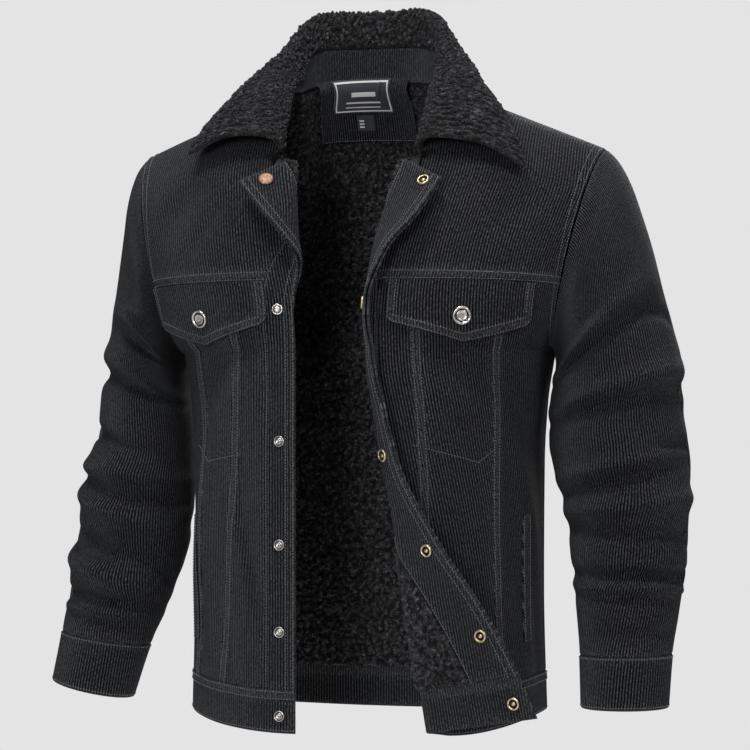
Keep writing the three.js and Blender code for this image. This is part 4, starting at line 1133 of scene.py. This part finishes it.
def locks(u, v, seed, pitch, length, width):
    """Height and tone of the highest lock at each spot; five random numbers make each lock."""
    random = np.random.default_rng(seed).random((REPEAT, REPEAT, 5))
    cell_u, cell_v = np.floor(u / pitch).astype(int), np.floor(v / pitch).astype(int)
    best, tone = np.zeros_like(u), np.zeros_like(u)
    for i in range(-2, 3):
        for j in range(-2, 3):
            r = random[(cell_u + i) % REPEAT, (cell_v + j) % REPEAT]
            x = u - (cell_u + i + r[..., 0]) * pitch
            y = v - (cell_v + j + r[..., 1]) * pitch
            c, s = np.cos(r[..., 2] * math.tau), np.sin(r[..., 2] * math.tau)
            along, off = x * c + y * s, y * c - x * s
            off = off + (r[..., 3] - 0.5) * along**2 / length
            past = np.clip(np.abs(along) - length / 2 + width, 0, None)
            dome = np.sqrt(np.clip(1 - (past**2 + off**2) / width**2, 0, None))
            high = (0.5 + 0.5 * r[..., 4]) * dome
            tone = np.where(high > best, r[..., 3], tone)
            best = np.maximum(best, high)
    return best, tone


def pile(
    name, cloth, u, v, mm, base, height, inner, seed, pitch, coarse, rim=4.0, facing=1, pale=0.0,
):
    """A sherpa piece; mm holds its map in millimetres, and facing -1 turns the pile inwards."""
    best, tone = locks(mm[0], mm[1], seed, pitch, pitch * 1.25, pitch * 0.46)
    rows, columns = u.shape
    j, i = np.mgrid[0:rows, 0:columns]
    spacing = abs(np.diff(mm[0], axis=1).mean())
    edge = np.minimum.reduce([
        i * spacing, (columns - 1 - i) * spacing, np.abs(mm[1] - mm[1][0]), np.abs(mm[1][-1] - mm[1]),
    ])
    lift = (base + best * height) * (1 - rounded(edge, rim) * 0.55)
    # lock is the height that the finish turns into painted highlight and painted shade; tone is each
    # lock's own random tone
    layers = {"lock": best, "tone": pale + (1 - pale) * tone}
    if facing < 0:
        plain = cloth
        cloth = Cloth(
            plain.place, -plain.out, plain.steps, lambda normal, a, b: -plain.bend(-normal, a, b),
        )
        inner = -inner
    return wall(name, cloth, u, v, inner + lift, inner, SHERPA, mm, coarse, layers=layers)


def lining(name, cloth, start, end, pitch_mm, seed):
    down = level_mm(np.array([0.012, BAND_TOP]))
    widest = max(end(w) - start(w) for w in np.linspace(0.02, 1.9, 9))
    across = np.linspace(0, 1, int(widest / pitch_mm) + 1)
    levels = mm_level(np.linspace(down[0], down[1], int((down[1] - down[0]) / pitch_mm) + 1))
    _, _, u, v, down_mm = net_between(start, end, levels, across)
    pile(name, cloth, u, v, (u, down_mm), 1.9, 3.9, LINING_OUT, seed, 5.4, 4, facing=-1, pale=0.9)


def lining_end(level, whole):
    """Where the lining stops, just short of the side seam or the armhole."""
    return whole - (1 if level < 0.99 else 0.2)


COARSE_PILE = 2.5
for k, name in enumerate(SIDES):
    s = seams_of(name)
    lining(
        f"{name}_front_lining_pile", SHEETS[name],
        lambda w, s=s: s["stand"](w) + 6 if w < NECK_END else s["facing"](w) + 1.1,
        lambda w, s=s: lining_end(w, s["side"](w)), COARSE_PILE * 1.12, 11 + k,
    )
lining(
    "back_lining_pile", back, lambda w: -lining_end(w, -first(w)), lambda w: lining_end(w, last(w)),
    COARSE_PILE, 17,
)
print("linings made, pieces", len(PIECES))

# %% [markdown]
# ## The collar's three layers
# The collar has sherpa on top and corduroy under it, and a corduroy stand inside the neck that
# tapers away to the front. All three are read from the collar's one sheet, at different offsets,
# so they roll over together.


# %% The collar's three layers
def stand_top(around):
    """Share of the collar's width where its stand ends and its sherpa starts."""
    return 0.2 - 0.16 * smooth(0.3, 0.46, np.abs(around))


FINE_PILE = 1.25
count_u, count_v = int(COLLAR_LENGTH / FINE_PILE), int(COLLAR_DEPTH * 0.78 / FINE_PILE)
around = np.repeat(np.linspace(-1.012, 1.012, count_u + 1)[None, :], count_v + 1, 0)
low = stand_top(around) + 0.01
share = low + (1.03 - low) * np.linspace(0, 1, count_v + 1)[:, None]
mm = (around * COLLAR_LENGTH / 2, share * COLLAR_DEPTH)
pile(
    "collar_fleece_pile", COLLAR_CLOTH, around, share, mm, 2.6, 4.4, GAP / 2, 23, 4.9, 3,
    rim=5.0, pale=-0.35,
)


def collar_piece(name, low, top, rows, outer, inner, worn):
    """A corduroy layer, from one share of the width to top(share round)."""
    count = 180
    around = np.repeat(np.linspace(-1, 1, count + 1)[None, :], rows + 1, 0)
    share = low + (top(around) - low) * np.linspace(0, 1, rows + 1)[:, None]
    mm = (around * COLLAR_LENGTH / 2, share * COLLAR_DEPTH)
    seam = np.exp(-(((1 - share) * COLLAR_DEPTH / 8) ** 2)) if worn else 0 * share
    wall(name, COLLAR_CLOTH, around, share, outer, inner, CORDUROY, mm, 2, layers={"seam": seam})


UNDER = -GAP / 2
collar_piece("under_collar_cloth", 0, np.ones_like, 38, UNDER, UNDER - SHELL, True)
collar_piece("collar_stand_cloth", -NECK_TAPE_SHARE, stand_top, 13, GAP / 2 + SHELL, GAP / 2, False)
print("collar made, pieces", len(PIECES))

# %% [markdown]
# ## Pocket flaps and welts
# These lie on a panel, so they are read from the panel's sheet, a little further out, and take
# its folds and wales with them. A flap is pointed in the middle and has rounded corners, and its
# lower edge stands off the cloth. A welt is the folded lip of a slanted hand pocket.

# %% Pocket flaps and welts
FLAP_WIDTH, FLAP_SIDE, FLAP_POINT, FLAP_CORNER = 152, 45, 64, 9
# A flap's thickness, its height off the cloth at the seam, and how much more at its lower edge
FLAP_WALL, FLAP_FOOT, FLAP_SWING, FLAP_STRETCH = 2.6, 1.8, 1.6, 1.15
FLAP_START = {"right": 27, "left": 6}
FLAP_TOP = {"right": 1, "left": 0.6}
WELT_WIDTH, WELT_LENGTH, WELT_FOOT, WELT_LEVELS = 15, 138, 0.5, (1.44, 1.79)
WELT_FROM_SIDE = {"right": 84, "left": 62}


def flap_drop(a):
    """How far down the flap reaches at a share of its width."""
    d = np.minimum(a, 1 - a) * FLAP_WIDTH
    straight = lerp(FLAP_SIDE, FLAP_POINT, 1 - np.abs(2 * a - 1))
    return straight - FLAP_CORNER * rounded(d, FLAP_CORNER)


def flap_spot(name, a, b):
    """Where on the front's sheet a flap's point lies; a runs across the flap and b down it."""
    down = FLAP_TOP[name] + flap_drop(a) * b * FLAP_STRETCH
    return FLAP_START[name] + a * FLAP_WIDTH, YOKE + down / LEVEL_HEIGHT


for name in SIDES:
    a, b = np.meshgrid(shares(FLAP_WIDTH, 3, (0.6, 2.0)), shares(FLAP_POINT, 3, (0.6, 2.0)))
    u, v = flap_spot(name, a, b)
    edge = np.minimum.reduce([a * FLAP_WIDTH, (1 - a) * FLAP_WIDTH, (1 - b) * flap_drop(a)])
    close = rounded(edge, 1.4)
    foot = FLAP_FOOT + FLAP_SWING * b**2
    hem = 0.6 * (1 - smooth(FELL - 1, FELL + 1, edge))
    seam = 1 - smooth(FELL - 2, FELL + 5, edge)
    wall(
        f"{name}_pocket_flap_cloth", SHEETS[name], u, v,
        foot + lerp(FLAP_WALL + hem, FLAP_WALL / 2, close), foot + FLAP_WALL * 0.4 * close, CORDUROY,
        (u, level_mm(v)), layers={"seam": seam},
    )
    a, b = np.meshgrid(shares(WELT_WIDTH, 2.5, (0.5, 1.5)), shares(WELT_LENGTH, 3.4, (0.5, 1.5)))
    level = lerp(WELT_LEVELS[0], WELT_LEVELS[1], b)
    u = SHEETS[name].last(level) - WELT_FROM_SIDE[name] + (a - 0.5) * WELT_WIDTH
    edge = np.minimum.reduce([
        a * WELT_WIDTH, (1 - a) * WELT_WIDTH, b * WELT_LENGTH, (1 - b) * WELT_LENGTH,
    ])
    close = rounded(edge, 1.2)
    wall(
        f"{name}_hand_pocket_welt_cloth", SHEETS[name], u, level,
        WELT_FOOT + lerp(SHELL, SHELL * 0.4, close), WELT_FOOT, CORDUROY,
        (u, level_mm(level)), layers={"seam": 0.8},
    )
print("flaps and welts made, pieces", len(PIECES))

# %% [markdown]
# ## The neck patch and the labels
# A corduroy patch hangs from the neck seam inside the back, with a woven label on it and a small
# size label under that. The patch can't be read from the back's sheet alone, because the lining
# swells in front of it, so it has its own: it starts forward of the seam and settles on the pile.

# %% The neck patch and the labels
# How far forward the patch starts and sways, and the level where it lies on the lining
PATCH_FRONT, PATCH_SWAY, PATCH_HANG = 5, 6, 0.1
# Where each starts and ends across the back; the neck seam reaches about NECK_HALF each way
NECK_HALF = 104
PATCH_SPAN = (-0.85 * NECK_HALF, 0.38 * NECK_HALF)
LABEL_SPAN, SIZE_SPAN = (-0.65 * NECK_HALF, 0.14 * NECK_HALF), (-36, -14)


def hung(u, level):
    """The patch hangs from the neck seam, clears the lining's top and then lies on the lining."""
    lying = back.at(u, level, LINING_IN - PATCH_LIFT)
    seam = back.place(u, 0 * level)
    inward = (np.array(ROLL["left"](0)) * [0, 1, 1] - seam) * [1, 1, 0]
    inward /= np.linalg.norm(inward, axis=-1, keepdims=True)
    share = smooth(0, PATCH_HANG, level)[..., None]
    sway = inward * PATCH_SWAY * np.sin(math.pi * share)
    return lerp(seam + inward * PATCH_FRONT, lying, share) + sway


neck = Cloth(hung, 1, (1.5, 0.004))
LABEL_OUT = -SHELL - LABEL_EASE


def neck_piece(name, span, top, bottom, outer, inner, material, uv_name="cloth", layers=()):
    a, b = np.meshgrid(shares(span[1] - span[0], 3, (0.6, 1.8)), shares(60, 3, (0.6, 1.8)))
    u, v = lerp(*span, a), lerp(top, bottom, b)
    uv = (u, level_mm(v)) if uv_name == "cloth" else (a, 1 - b)
    inward = Cloth(neck.place, -neck.out, neck.steps)
    wall(name, inward, u, v, -inner, -outer, material, uv, uv_name=uv_name, layers=layers)


worn = {"seam": 0.2}
neck_piece("neck_patch_cloth", PATCH_SPAN, 0.014, 0.235, 0, -SHELL, CORDUROY, layers=worn)
neck_piece("neck_label_tape", LABEL_SPAN, 0.024, 0.118, LABEL_OUT, LABEL_OUT - 1, LABEL, "tape")
neck_piece("size_label_tape", SIZE_SPAN, 0.13, 0.19, LABEL_OUT, LABEL_OUT - 1, TAB, "tape")
print("pieces", len(PIECES))

# %% [markdown]
# ## Metal trim
# Snaps and buttons are turned, so each is a profile spun round its own axis and set on the cloth.
# A cylinder with bevels would do for a plain stud, but a profile also gives the rim, the dish and
# the small knob in the middle, and names the steps that lie in shadow.


# %% Turned metal
TRIM_SIDES = 40


def turned(name, cloth, u, v, offset, facing, profile, material, hollow=()):
    """profile holds radius and height from the cloth, and hollow the steps that are dark."""
    angle = np.linspace(0, math.tau, TRIM_SIDES, endpoint=False)
    normal = cloth.normal(np.array(u), np.array(v)) * facing
    foot = cloth.at(np.array(u), np.array(v), offset) + normal * GAP
    turn = Vector((0, 0, 1)).rotation_difference(Vector(normal))
    points, faces = [], []
    for radius, height in profile:
        ring = [(radius * math.cos(t), radius * math.sin(t), height) for t in angle]
        ring = ring if radius else [(0, 0, height)]
        points.append([foot + np.array(turn @ Vector(p)) for p in ring])
    start = np.concatenate([[0], np.cumsum([len(ring) for ring in points])])
    for k in range(len(profile) - 1):
        low, high = start[k], start[k + 1]
        for i in range(TRIM_SIDES):
            n = (i + 1) % TRIM_SIDES
            if not profile[k][0]:
                faces.append([low, high + n, high + i])
            elif not profile[k + 1][0]:
                faces.append([low + i, low + n, high])
            else:
                faces.append([low + i, low + n, high + n, high + i])
    made = make_mesh(name, np.array([p for ring in points for p in ring]), faces, material)
    dark = [1.0 if k in hollow else 0.0 for k, ring in enumerate(points) for _ in ring]
    paint(made, "hollow", dark)
    PIECES[name] = {"object": made, "flat": None}


print("metal is turned with", TRIM_SIDES, "sides")

# %% Profiles, and where the trim sits
# Radius and height of each step, from the foot to the middle of the top
BUTTON = [
    (0, 0), (9.2, 0), (9.6, 0.5), (9.5, 1.3), (9.0, 1.9), (8.3, 2.2), (7.6, 1.9), (7.2, 1.3), (6.8, 1.1),
    (5.6, 1.1), (5.2, 1.5), (4.7, 1.7), (4.2, 1.5), (3.8, 1.2), (2.0, 1.4), (0, 1.5),
]
STUD = [
    (0, 0), (5.5, 0), (5.7, 0.4), (5.3, 0.9), (4.7, 0.9), (4.3, 0.5), (3.7, 0.5), (3.3, 0.9), (2.9, 1.2),
    (2.8, 2.6), (2.5, 3.0), (1.7, 3.2), (1.2, 2.7), (0, 2.5),
]
SOCKET = [
    (0, 0), (6.5, 0), (6.7, 0.5), (6.5, 1.5), (6.0, 2.1), (5.3, 2.2), (4.7, 2.0), (4.4, 1.4), (4.2, 0.7),
    (2.2, 0.7), (1.9, 1.3), (1.3, 1.6), (0, 1.7),
]
CAP = [(0, 0), (7.8, 0), (8.1, 0.4), (7.8, 0.9), (6.6, 1.5), (4.4, 1.9), (2.2, 2.05), (0, 2.1)]
SNAP_LEVELS = {
    "right": (0.4, 0.865, 1.24, 1.51, 1.737, 1.955),
    "left": (0.4, 0.845, 1.28, 1.54, 1.777, 1.955),
}
# The top cap's distance from the edge, each socket's lift, and a button's drop from the yoke
CAP_INSET, SOCKET_LIFT, BUTTON_DROP = 25, (0.1, 0.3, 0.3, 0.2, 0.1, 0.1), 44
for name in SIDES:
    cloth = SHEETS[name]
    drop = BUTTON_DROP / (FLAP_POINT * FLAP_STRETCH)
    middle, low = flap_spot(name, 0.5, drop)
    lift = FLAP_FOOT + FLAP_WALL + FLAP_SWING * drop**2
    turned(f"{name}_pocket_button_metal", cloth, middle, low, lift, 1, BUTTON, STEEL, (8, 9))
    for i, level in enumerate(SNAP_LEVELS[name]):
        inset = CAP_INSET if name == "right" and i == 0 else PLACKET / 2
        spot = float(cloth.first(level)) + inset
        outside, inside = (0.2, 0.2 - BAND) if level > BAND_TOP else (0, -2 * SHELL - FACING_EASE)
        where = (cloth, spot, level)
        if name == "left":
            seat = inside - SOCKET_LIFT[i]
            turned(f"left_snap_socket_{i + 1}_metal", *where, seat, -1, SOCKET, BRASS, (7, 8, 9))
        elif i == 0:
            turned("right_snap_cap_1_metal", *where, inside - GAP, -1, CAP, COPPER)
        else:
            turned(f"right_snap_stud_{i + 1}_metal", *where, outside, 1, STUD, STEEL, (5, 6))
print("pieces", len(PIECES))

# %% [markdown]
# ## Guide lines for thread
# A jacket like this is held together by rows of topstitching, two to a felled seam. Each row
# starts as a guide line, which is read from the sheet that it is sewn through, just above the
# cloth. So it follows every fold, and it can't float off or sink in.

# %% Guide lines
GUIDES = {name: [] for name in ("right", "left", "back", "sleeves", "collar")}


def guide(group, cloth, u, v, offset):
    u, v = np.broadcast_arrays(np.asarray(u, float), np.asarray(v, float))
    GUIDES[group].append(cloth.at(u, v, offset))


def down_line(group, cloth, at, top, bottom, offset, steps=120):
    """A row that runs down, at(level) across."""
    levels = np.linspace(top, bottom, steps)
    guide(group, cloth, np.array([at(w) for w in levels]), levels, offset)


def across_line(group, cloth, start, end, level, offset, steps=90):
    """A row at one level, from start(level) to end(level)."""
    keys = np.linspace(start(level) + 2, end(level) - 2, steps)
    guide(group, cloth, keys, level, offset)


def below(level, drop):
    """The level that lies so many millimetres under another."""
    return float(mm_level(level_mm(level) + drop))


def flap_row(name, a, b):
    u, v = flap_spot(name, a, b)
    guide(name, SHEETS[name], u, v, FLAP_FOOT + FLAP_WALL + 0.6 + FLAP_SWING * b**2)


# Distances of the rows from a seam, and of the lowest row from the hem
EDGE_ROW, SECOND_ROW, HEM_ROW = 1.6, 8.6, 3
# Heights of a row off the sheet: on a felled strip, plain cloth, the band's top and its hem
ON_FELL, ON_CLOTH, ON_BAND, ON_HEM, ON_CUFF = 0.95, 0.25, 1.15, 0.45, 1.0
UNDER_FACING = FACING_IN - 0.2
# Rows down the front's edge: the line it keeps to, its distance from it, and its height
EDGE_ROWS = (
    ("edge", 2.4, ON_CLOTH), ("edge", 2.4, UNDER_FACING), ("edge", 10.0, ON_CLOTH),
    ("edge", 10.0, UNDER_FACING), ("stand", -2.0, ON_CLOTH), ("facing", -2.0, UNDER_FACING),
)
# The chest pocket's bag is sewn through the front: share of the flap's width, and drop from the yoke
BAG = {"left": ((0.07, 166), (0.51, 184), (0.7, 168)), "right": ((0.26, 176), (0.62, 184), (0.86, 168))}
print("rows lie", EDGE_ROW, "and", SECOND_ROW, "mm from a seam")

# %% Rows on the fronts
for name in SIDES:
    cloth, s = SHEETS[name], seams_of(name)
    for row in (EDGE_ROW, SECOND_ROW):
        across_line(name, cloth, s["stand"], s["side"], below(YOKE, -row), ON_FELL)
        down_line(name, cloth, lambda w: s["inner"](w) - row, YOKE + 0.17, BAND_TOP, ON_FELL)
        down_line(name, cloth, lambda w: s["outer"](w) + row, YOKE + 0.17, BAND_TOP, ON_FELL)
        across_line(name, cloth, s["edge"], s["side"], below(BAND_TOP, row), ON_BAND)
        a = np.linspace(row / FLAP_WIDTH, 1 - row / FLAP_WIDTH, 60)
        flap_row(name, a, 1 - row / flap_drop(a))
        for end in (row / FLAP_WIDTH, 1 - row / FLAP_WIDTH):
            flap_row(name, np.full(20, end), np.linspace(0.03, 1 - (row + 6) / FLAP_SIDE, 20))
        down_line(name, cloth, lambda w: s["side"](w) - row - 1, 0.06, 0.97, ON_CLOTH)
    for (a0, down0), (a1, down1) in zip(BAG[name], BAG[name][1:]):
        steps = np.linspace(0, 1, 40)
        key = FLAP_START[name] + lerp(a0, a1, steps) * FLAP_WIDTH
        guide(name, cloth, key, mm_level(level_mm(YOKE) + lerp(down0, down1, steps)), ON_CLOTH)
    for line, shift, lift in EDGE_ROWS:
        down_line(name, cloth, lambda w: s[line](w) + shift, NECK_END + 0.01, BAND_TOP, lift)
    across_line(name, cloth, s["edge"], s["side"], below(2, -HEM_ROW), ON_HEM)
    for side in (-1, 1):
        shift = side * (WELT_WIDTH / 2 - 1.6) - WELT_FROM_SIDE[name]
        down_line(
            name, cloth, lambda w: s["side"](w) + shift,
            WELT_LEVELS[0] + 0.008, WELT_LEVELS[1] - 0.008, WELT_FOOT + SHELL + 0.2,
        )
print("rows on the fronts", len(GUIDES["right"]), len(GUIDES["left"]))

# %% Rows on the back, the cuffs and the patch
for row in (EDGE_ROW, SECOND_ROW):
    across_line("back", back, first, last, below(BACK_YOKE, -row), ON_FELL, 200)
    down_line("back", back, lambda w: seam_left(w) - row, BACK_YOKE, BAND_TOP, ON_FELL)
    down_line("back", back, lambda w: seam_right(w) + row, BACK_YOKE, BAND_TOP, ON_FELL)
    across_line("back", back, first, last, below(BAND_TOP, row), ON_BAND, 200)
across_line("back", back, first, last, below(2, -HEM_ROW), ON_HEM, 200)
for name, (cuff, end) in CUFF.items():
    for down in (cuff + 2.2, end - 3.4):
        guide("sleeves", SLEEVES[name], np.linspace(0, 360, 181), down, ON_CUFF)
patch_row = np.linspace(PATCH_SPAN[0] + 2, PATCH_SPAN[1] - 2, 60)
guide("collar", neck, patch_row, 0.23, -SHELL - 0.2)
print("guide lines", {k: len(v) for k, v in GUIDES.items()})

# %% [markdown]
# ## Stitches
# A stitch is a short plump length of thread that dives into the cloth at both ends. There are
# thousands, so Geometry Nodes place one small stretched ball after another along each guide, and
# a stitch's spacing, length and thickness are three numbers that can be changed.

# %% Stitches along the guides
# Spacing, length and thickness of a stitch, in metres
STITCH_PITCH, STITCH_LENGTH, STITCH_THICKNESS = 0.0031, 0.0023, 0.00085


def stitch_tree():
    tree = bpy.data.node_groups.new("topstitch", "GeometryNodeTree")
    face = tree.interface
    face.new_socket("Guides", in_out="INPUT", socket_type="NodeSocketGeometry")
    for label, value in (
        ("Pitch", STITCH_PITCH), ("Length", STITCH_LENGTH), ("Thickness", STITCH_THICKNESS),
    ):
        socket = face.new_socket(label, in_out="INPUT", socket_type="NodeSocketFloat")
        socket.default_value = value
    face.new_socket("Thread", in_out="INPUT", socket_type="NodeSocketMaterial")
    face.new_socket("Stitches", in_out="OUTPUT", socket_type="NodeSocketGeometry")
    new, link = tree.nodes.new, tree.links.new
    given, result = new("NodeGroupInput"), new("NodeGroupOutput")
    curve = new("GeometryNodeMeshToCurve")
    even = new("GeometryNodeResampleCurve")
    even.mode = "LENGTH"
    spots = new("GeometryNodeCurveToPoints")
    spots.mode = "EVALUATED"
    thread = new("GeometryNodeMeshIcoSphere")
    thread.inputs["Subdivisions"].default_value = 1
    thread.inputs["Radius"].default_value = 0.5
    size = new("ShaderNodeCombineXYZ")
    shape = new("GeometryNodeTransform")
    place = new("GeometryNodeInstanceOnPoints")
    real = new("GeometryNodeRealizeInstances")
    finish = new("GeometryNodeSetMaterial")
    link(given.outputs["Guides"], curve.inputs[0])
    link(curve.outputs[0], even.inputs["Curve"])
    link(given.outputs["Pitch"], even.inputs["Length"])
    link(even.outputs[0], spots.inputs[0])
    link(given.outputs["Thickness"], size.inputs[0])
    link(given.outputs["Thickness"], size.inputs[1])
    link(given.outputs["Length"], size.inputs[2])
    link(thread.outputs["Mesh"], shape.inputs["Geometry"])
    link(size.outputs[0], shape.inputs["Scale"])
    link(spots.outputs["Points"], place.inputs["Points"])
    link(shape.outputs[0], place.inputs["Instance"])
    link(spots.outputs["Rotation"], place.inputs["Rotation"])
    link(place.outputs[0], real.inputs[0])
    link(real.outputs[0], finish.inputs["Geometry"])
    link(given.outputs["Thread"], finish.inputs["Material"])
    link(finish.outputs[0], result.inputs[0])
    return tree


STITCH = stitch_tree()
print("the tree has", len(STITCH.nodes), "nodes")


# %% Sewing
def stitched(name, lines):
    """Stitches along some lines, as one plain mesh."""
    points = np.concatenate(lines)
    edges, start = [], 0
    for line in lines:
        edges += [(start + k, start + k + 1) for k in range(len(line) - 1)]
        start += len(line)
    mesh = bpy.data.meshes.new(name + "_guide")
    mesh.from_pydata((points * MM).tolist(), edges, [])
    made = bpy.data.objects.new(name, mesh)
    bpy.context.collection.objects.link(made)
    nodes = made.modifiers.new("topstitch", "NODES")
    nodes.node_group = STITCH
    items = STITCH.interface.items_tree
    sockets = {item.name: item.identifier for item in items if item.in_out == "INPUT"}
    nodes[sockets["Pitch"]] = STITCH_PITCH
    nodes[sockets["Thread"]] = THREAD
    depsgraph = bpy.context.evaluated_depsgraph_get()
    plain = bpy.data.meshes.new_from_object(made.evaluated_get(depsgraph))
    made.modifiers.remove(nodes)
    made.data = plain
    if not plain.materials:
        plain.materials.append(THREAD)
    plain.shade_smooth()
    PIECES[name] = {"object": made, "flat": None}
    return made


for group, lines in GUIDES.items():
    made = stitched(f"{group}_topstitching", lines)
    print(made.name, len(made.data.polygons), "faces")

# %% [markdown]
# ## Riding on the frame
# The jacket is one body, so every piece rides on it. Each cut piece and each metal part stands for
# the solid that it covers, and that solid is hidden.

# %% Bodies, and the solids under the pieces
METAL = {"button": "button_metal", "stud": "stud_metal", "socket": "socket_metal", "cap": "cap_metal"}
for name, piece in PIECES.items():
    made = piece["object"]
    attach(made, "root")
    node = name.rsplit("_", 1)[0]
    if name.endswith("_metal"):
        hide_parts(node)
        next(slot for word, slot in METAL.items() if word in name)
        continue
    if name.endswith("_topstitching"):
        continue
    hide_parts(node)
    width, length, area = piece["flat"]
    area = round(min(area, width * length * 0.99), 6)

# %% [markdown]
# ## Studio
# The photograph is a soft, frontal studio shot on a pale ground. A wall of paper behind the
# jacket would hide it from the back, so the camera's rays see a pale world instead, which lights
# the cloth only dimly, and the floor ends before the view comes down to it. The camera stands
# 2.7 m away and 13 degrees to the wearer's right, level with the waist, with a long lens.

# %% The floor and the lights
PAPER, PAPER_PALE, PAPER_GLOW = (0.36, 0.36, 0.36, 1), (0.37, 0.37, 0.37, 1), 0.46
ROOM_LIGHT, BACKDROP, WHITE = 0.10, 0.775, (1, 1, 1, 1)
FLOOR_Z, FLOOR_RADIUS, FLOOR_SIDES = -1.45, 5.0, 96


def paper_material():
    """Pale floor paper with a little light of its own, so that it is as even as the backdrop."""
    n = Nodes("studio_paper")
    place = n.node("ShaderNodeTexCoord", output=3)
    n.shader.inputs["Emission Color"].default_value = WHITE
    n.shader.inputs["Emission Strength"].default_value = PAPER_GLOW
    return n.finish(n.mix(n.noise(place, 2), PAPER, PAPER_PALE), 0.95)


def stage():
    """A round floor, well below the jacket, that ends before the camera's view comes down to it."""
    turns = np.linspace(0, math.tau, FLOOR_SIDES, endpoint=False)
    points = [(FLOOR_RADIUS * math.cos(t), FLOOR_RADIUS * math.sin(t), FLOOR_Z) for t in turns]
    mesh = bpy.data.meshes.new("studio_floor")
    mesh.from_pydata(points, [], [list(range(FLOOR_SIDES))])
    mesh.materials.append(paper_material())
    made = bpy.data.objects.new("studio_floor", mesh)
    bpy.context.collection.objects.link(made)


def area_light(name, place, size, watts, target=(0, 0, -0.35)):
    """A soft light that looks at the target and isn't seen itself."""
    lamp = bpy.data.lights.new(name, "AREA")
    lamp.shape, lamp.size, lamp.size_y, lamp.energy = "RECTANGLE", size[0], size[1], watts
    made = bpy.data.objects.new(name, lamp)
    made.location = place
    made.rotation_euler = (Vector(target) - Vector(place)).to_track_quat("-Z", "Y").to_euler()
    made.visible_camera = False
    bpy.context.collection.objects.link(made)


stage()
area_light("key_light", (-0.3, -1.6, 2.6), (0.7, 0.7), 64)
area_light("fill_light", (2.3, -1.7, 1.3), (0.9, 1.2), 32)
area_light("front_light", (-0.1, -2.7, 0.05), (0.5, 0.5), 35, (0, 0, -0.2))
area_light("top_light", (0.2, 0.2, 2.1), (1.8, 1.2), 40)
area_light("back_light", (0.4, 2.7, 0.9), (1.4, 1.4), 80)
print("lights", len(bpy.data.lights))


# %% The world and the camera
def studio_world():
    """A dim white room to light the cloth, seen behind it as an evenly lit pale backdrop."""
    world = bpy.data.worlds.new("studio_world")
    bpy.context.scene.world = world
    world.use_nodes = True
    tree = world.node_tree
    room, backdrop = tree.nodes["Background"], tree.nodes.new("ShaderNodeBackground")
    room.inputs[0].default_value, room.inputs[1].default_value = WHITE, ROOM_LIGHT
    backdrop.inputs[0].default_value, backdrop.inputs[1].default_value = WHITE, BACKDROP
    seen, ray = tree.nodes.new("ShaderNodeMixShader"), tree.nodes.new("ShaderNodeLightPath")
    tree.links.new(ray.outputs["Is Camera Ray"], seen.inputs[0])
    tree.links.new(room.outputs[0], seen.inputs[1])
    tree.links.new(backdrop.outputs[0], seen.inputs[2])
    tree.links.new(seen.outputs[0], tree.nodes["World Output"].inputs[0])


studio_world()
bpy.context.scene.view_settings.view_transform = "Standard"

CAMERA_YAW, CAMERA_BACK, CAMERA_Z = math.radians(13), 2.7, -0.373
FOCAL_PX, IMAGE_PX, SENSOR_MM = 2500, 750, 36
# How far the view's middle lies from the axis, to the right and up
AIM_RIGHT_PX, AIM_UP_PX = 6, 55
lens_axis = Vector((-math.sin(CAMERA_YAW), math.cos(CAMERA_YAW), 0))
across_axis = Vector((math.cos(CAMERA_YAW), math.sin(CAMERA_YAW), 0))
camera_data = bpy.data.cameras.new("camera")
camera_data.sensor_width = SENSOR_MM
camera_data.lens = SENSOR_MM * FOCAL_PX / IMAGE_PX
camera = bpy.data.objects.new("camera", camera_data)
camera.location = -lens_axis * CAMERA_BACK + Vector((0, 0, CAMERA_Z))
look = lens_axis + across_axis * (AIM_RIGHT_PX / FOCAL_PX)
look = look + Vector((0, 0, 1)) * (AIM_UP_PX / FOCAL_PX)
camera.rotation_euler = look.to_track_quat("-Z", "Y").to_euler()
bpy.context.collection.objects.link(camera)
bpy.context.scene.camera = camera
print("the lens is", camera_data.lens, "mm")
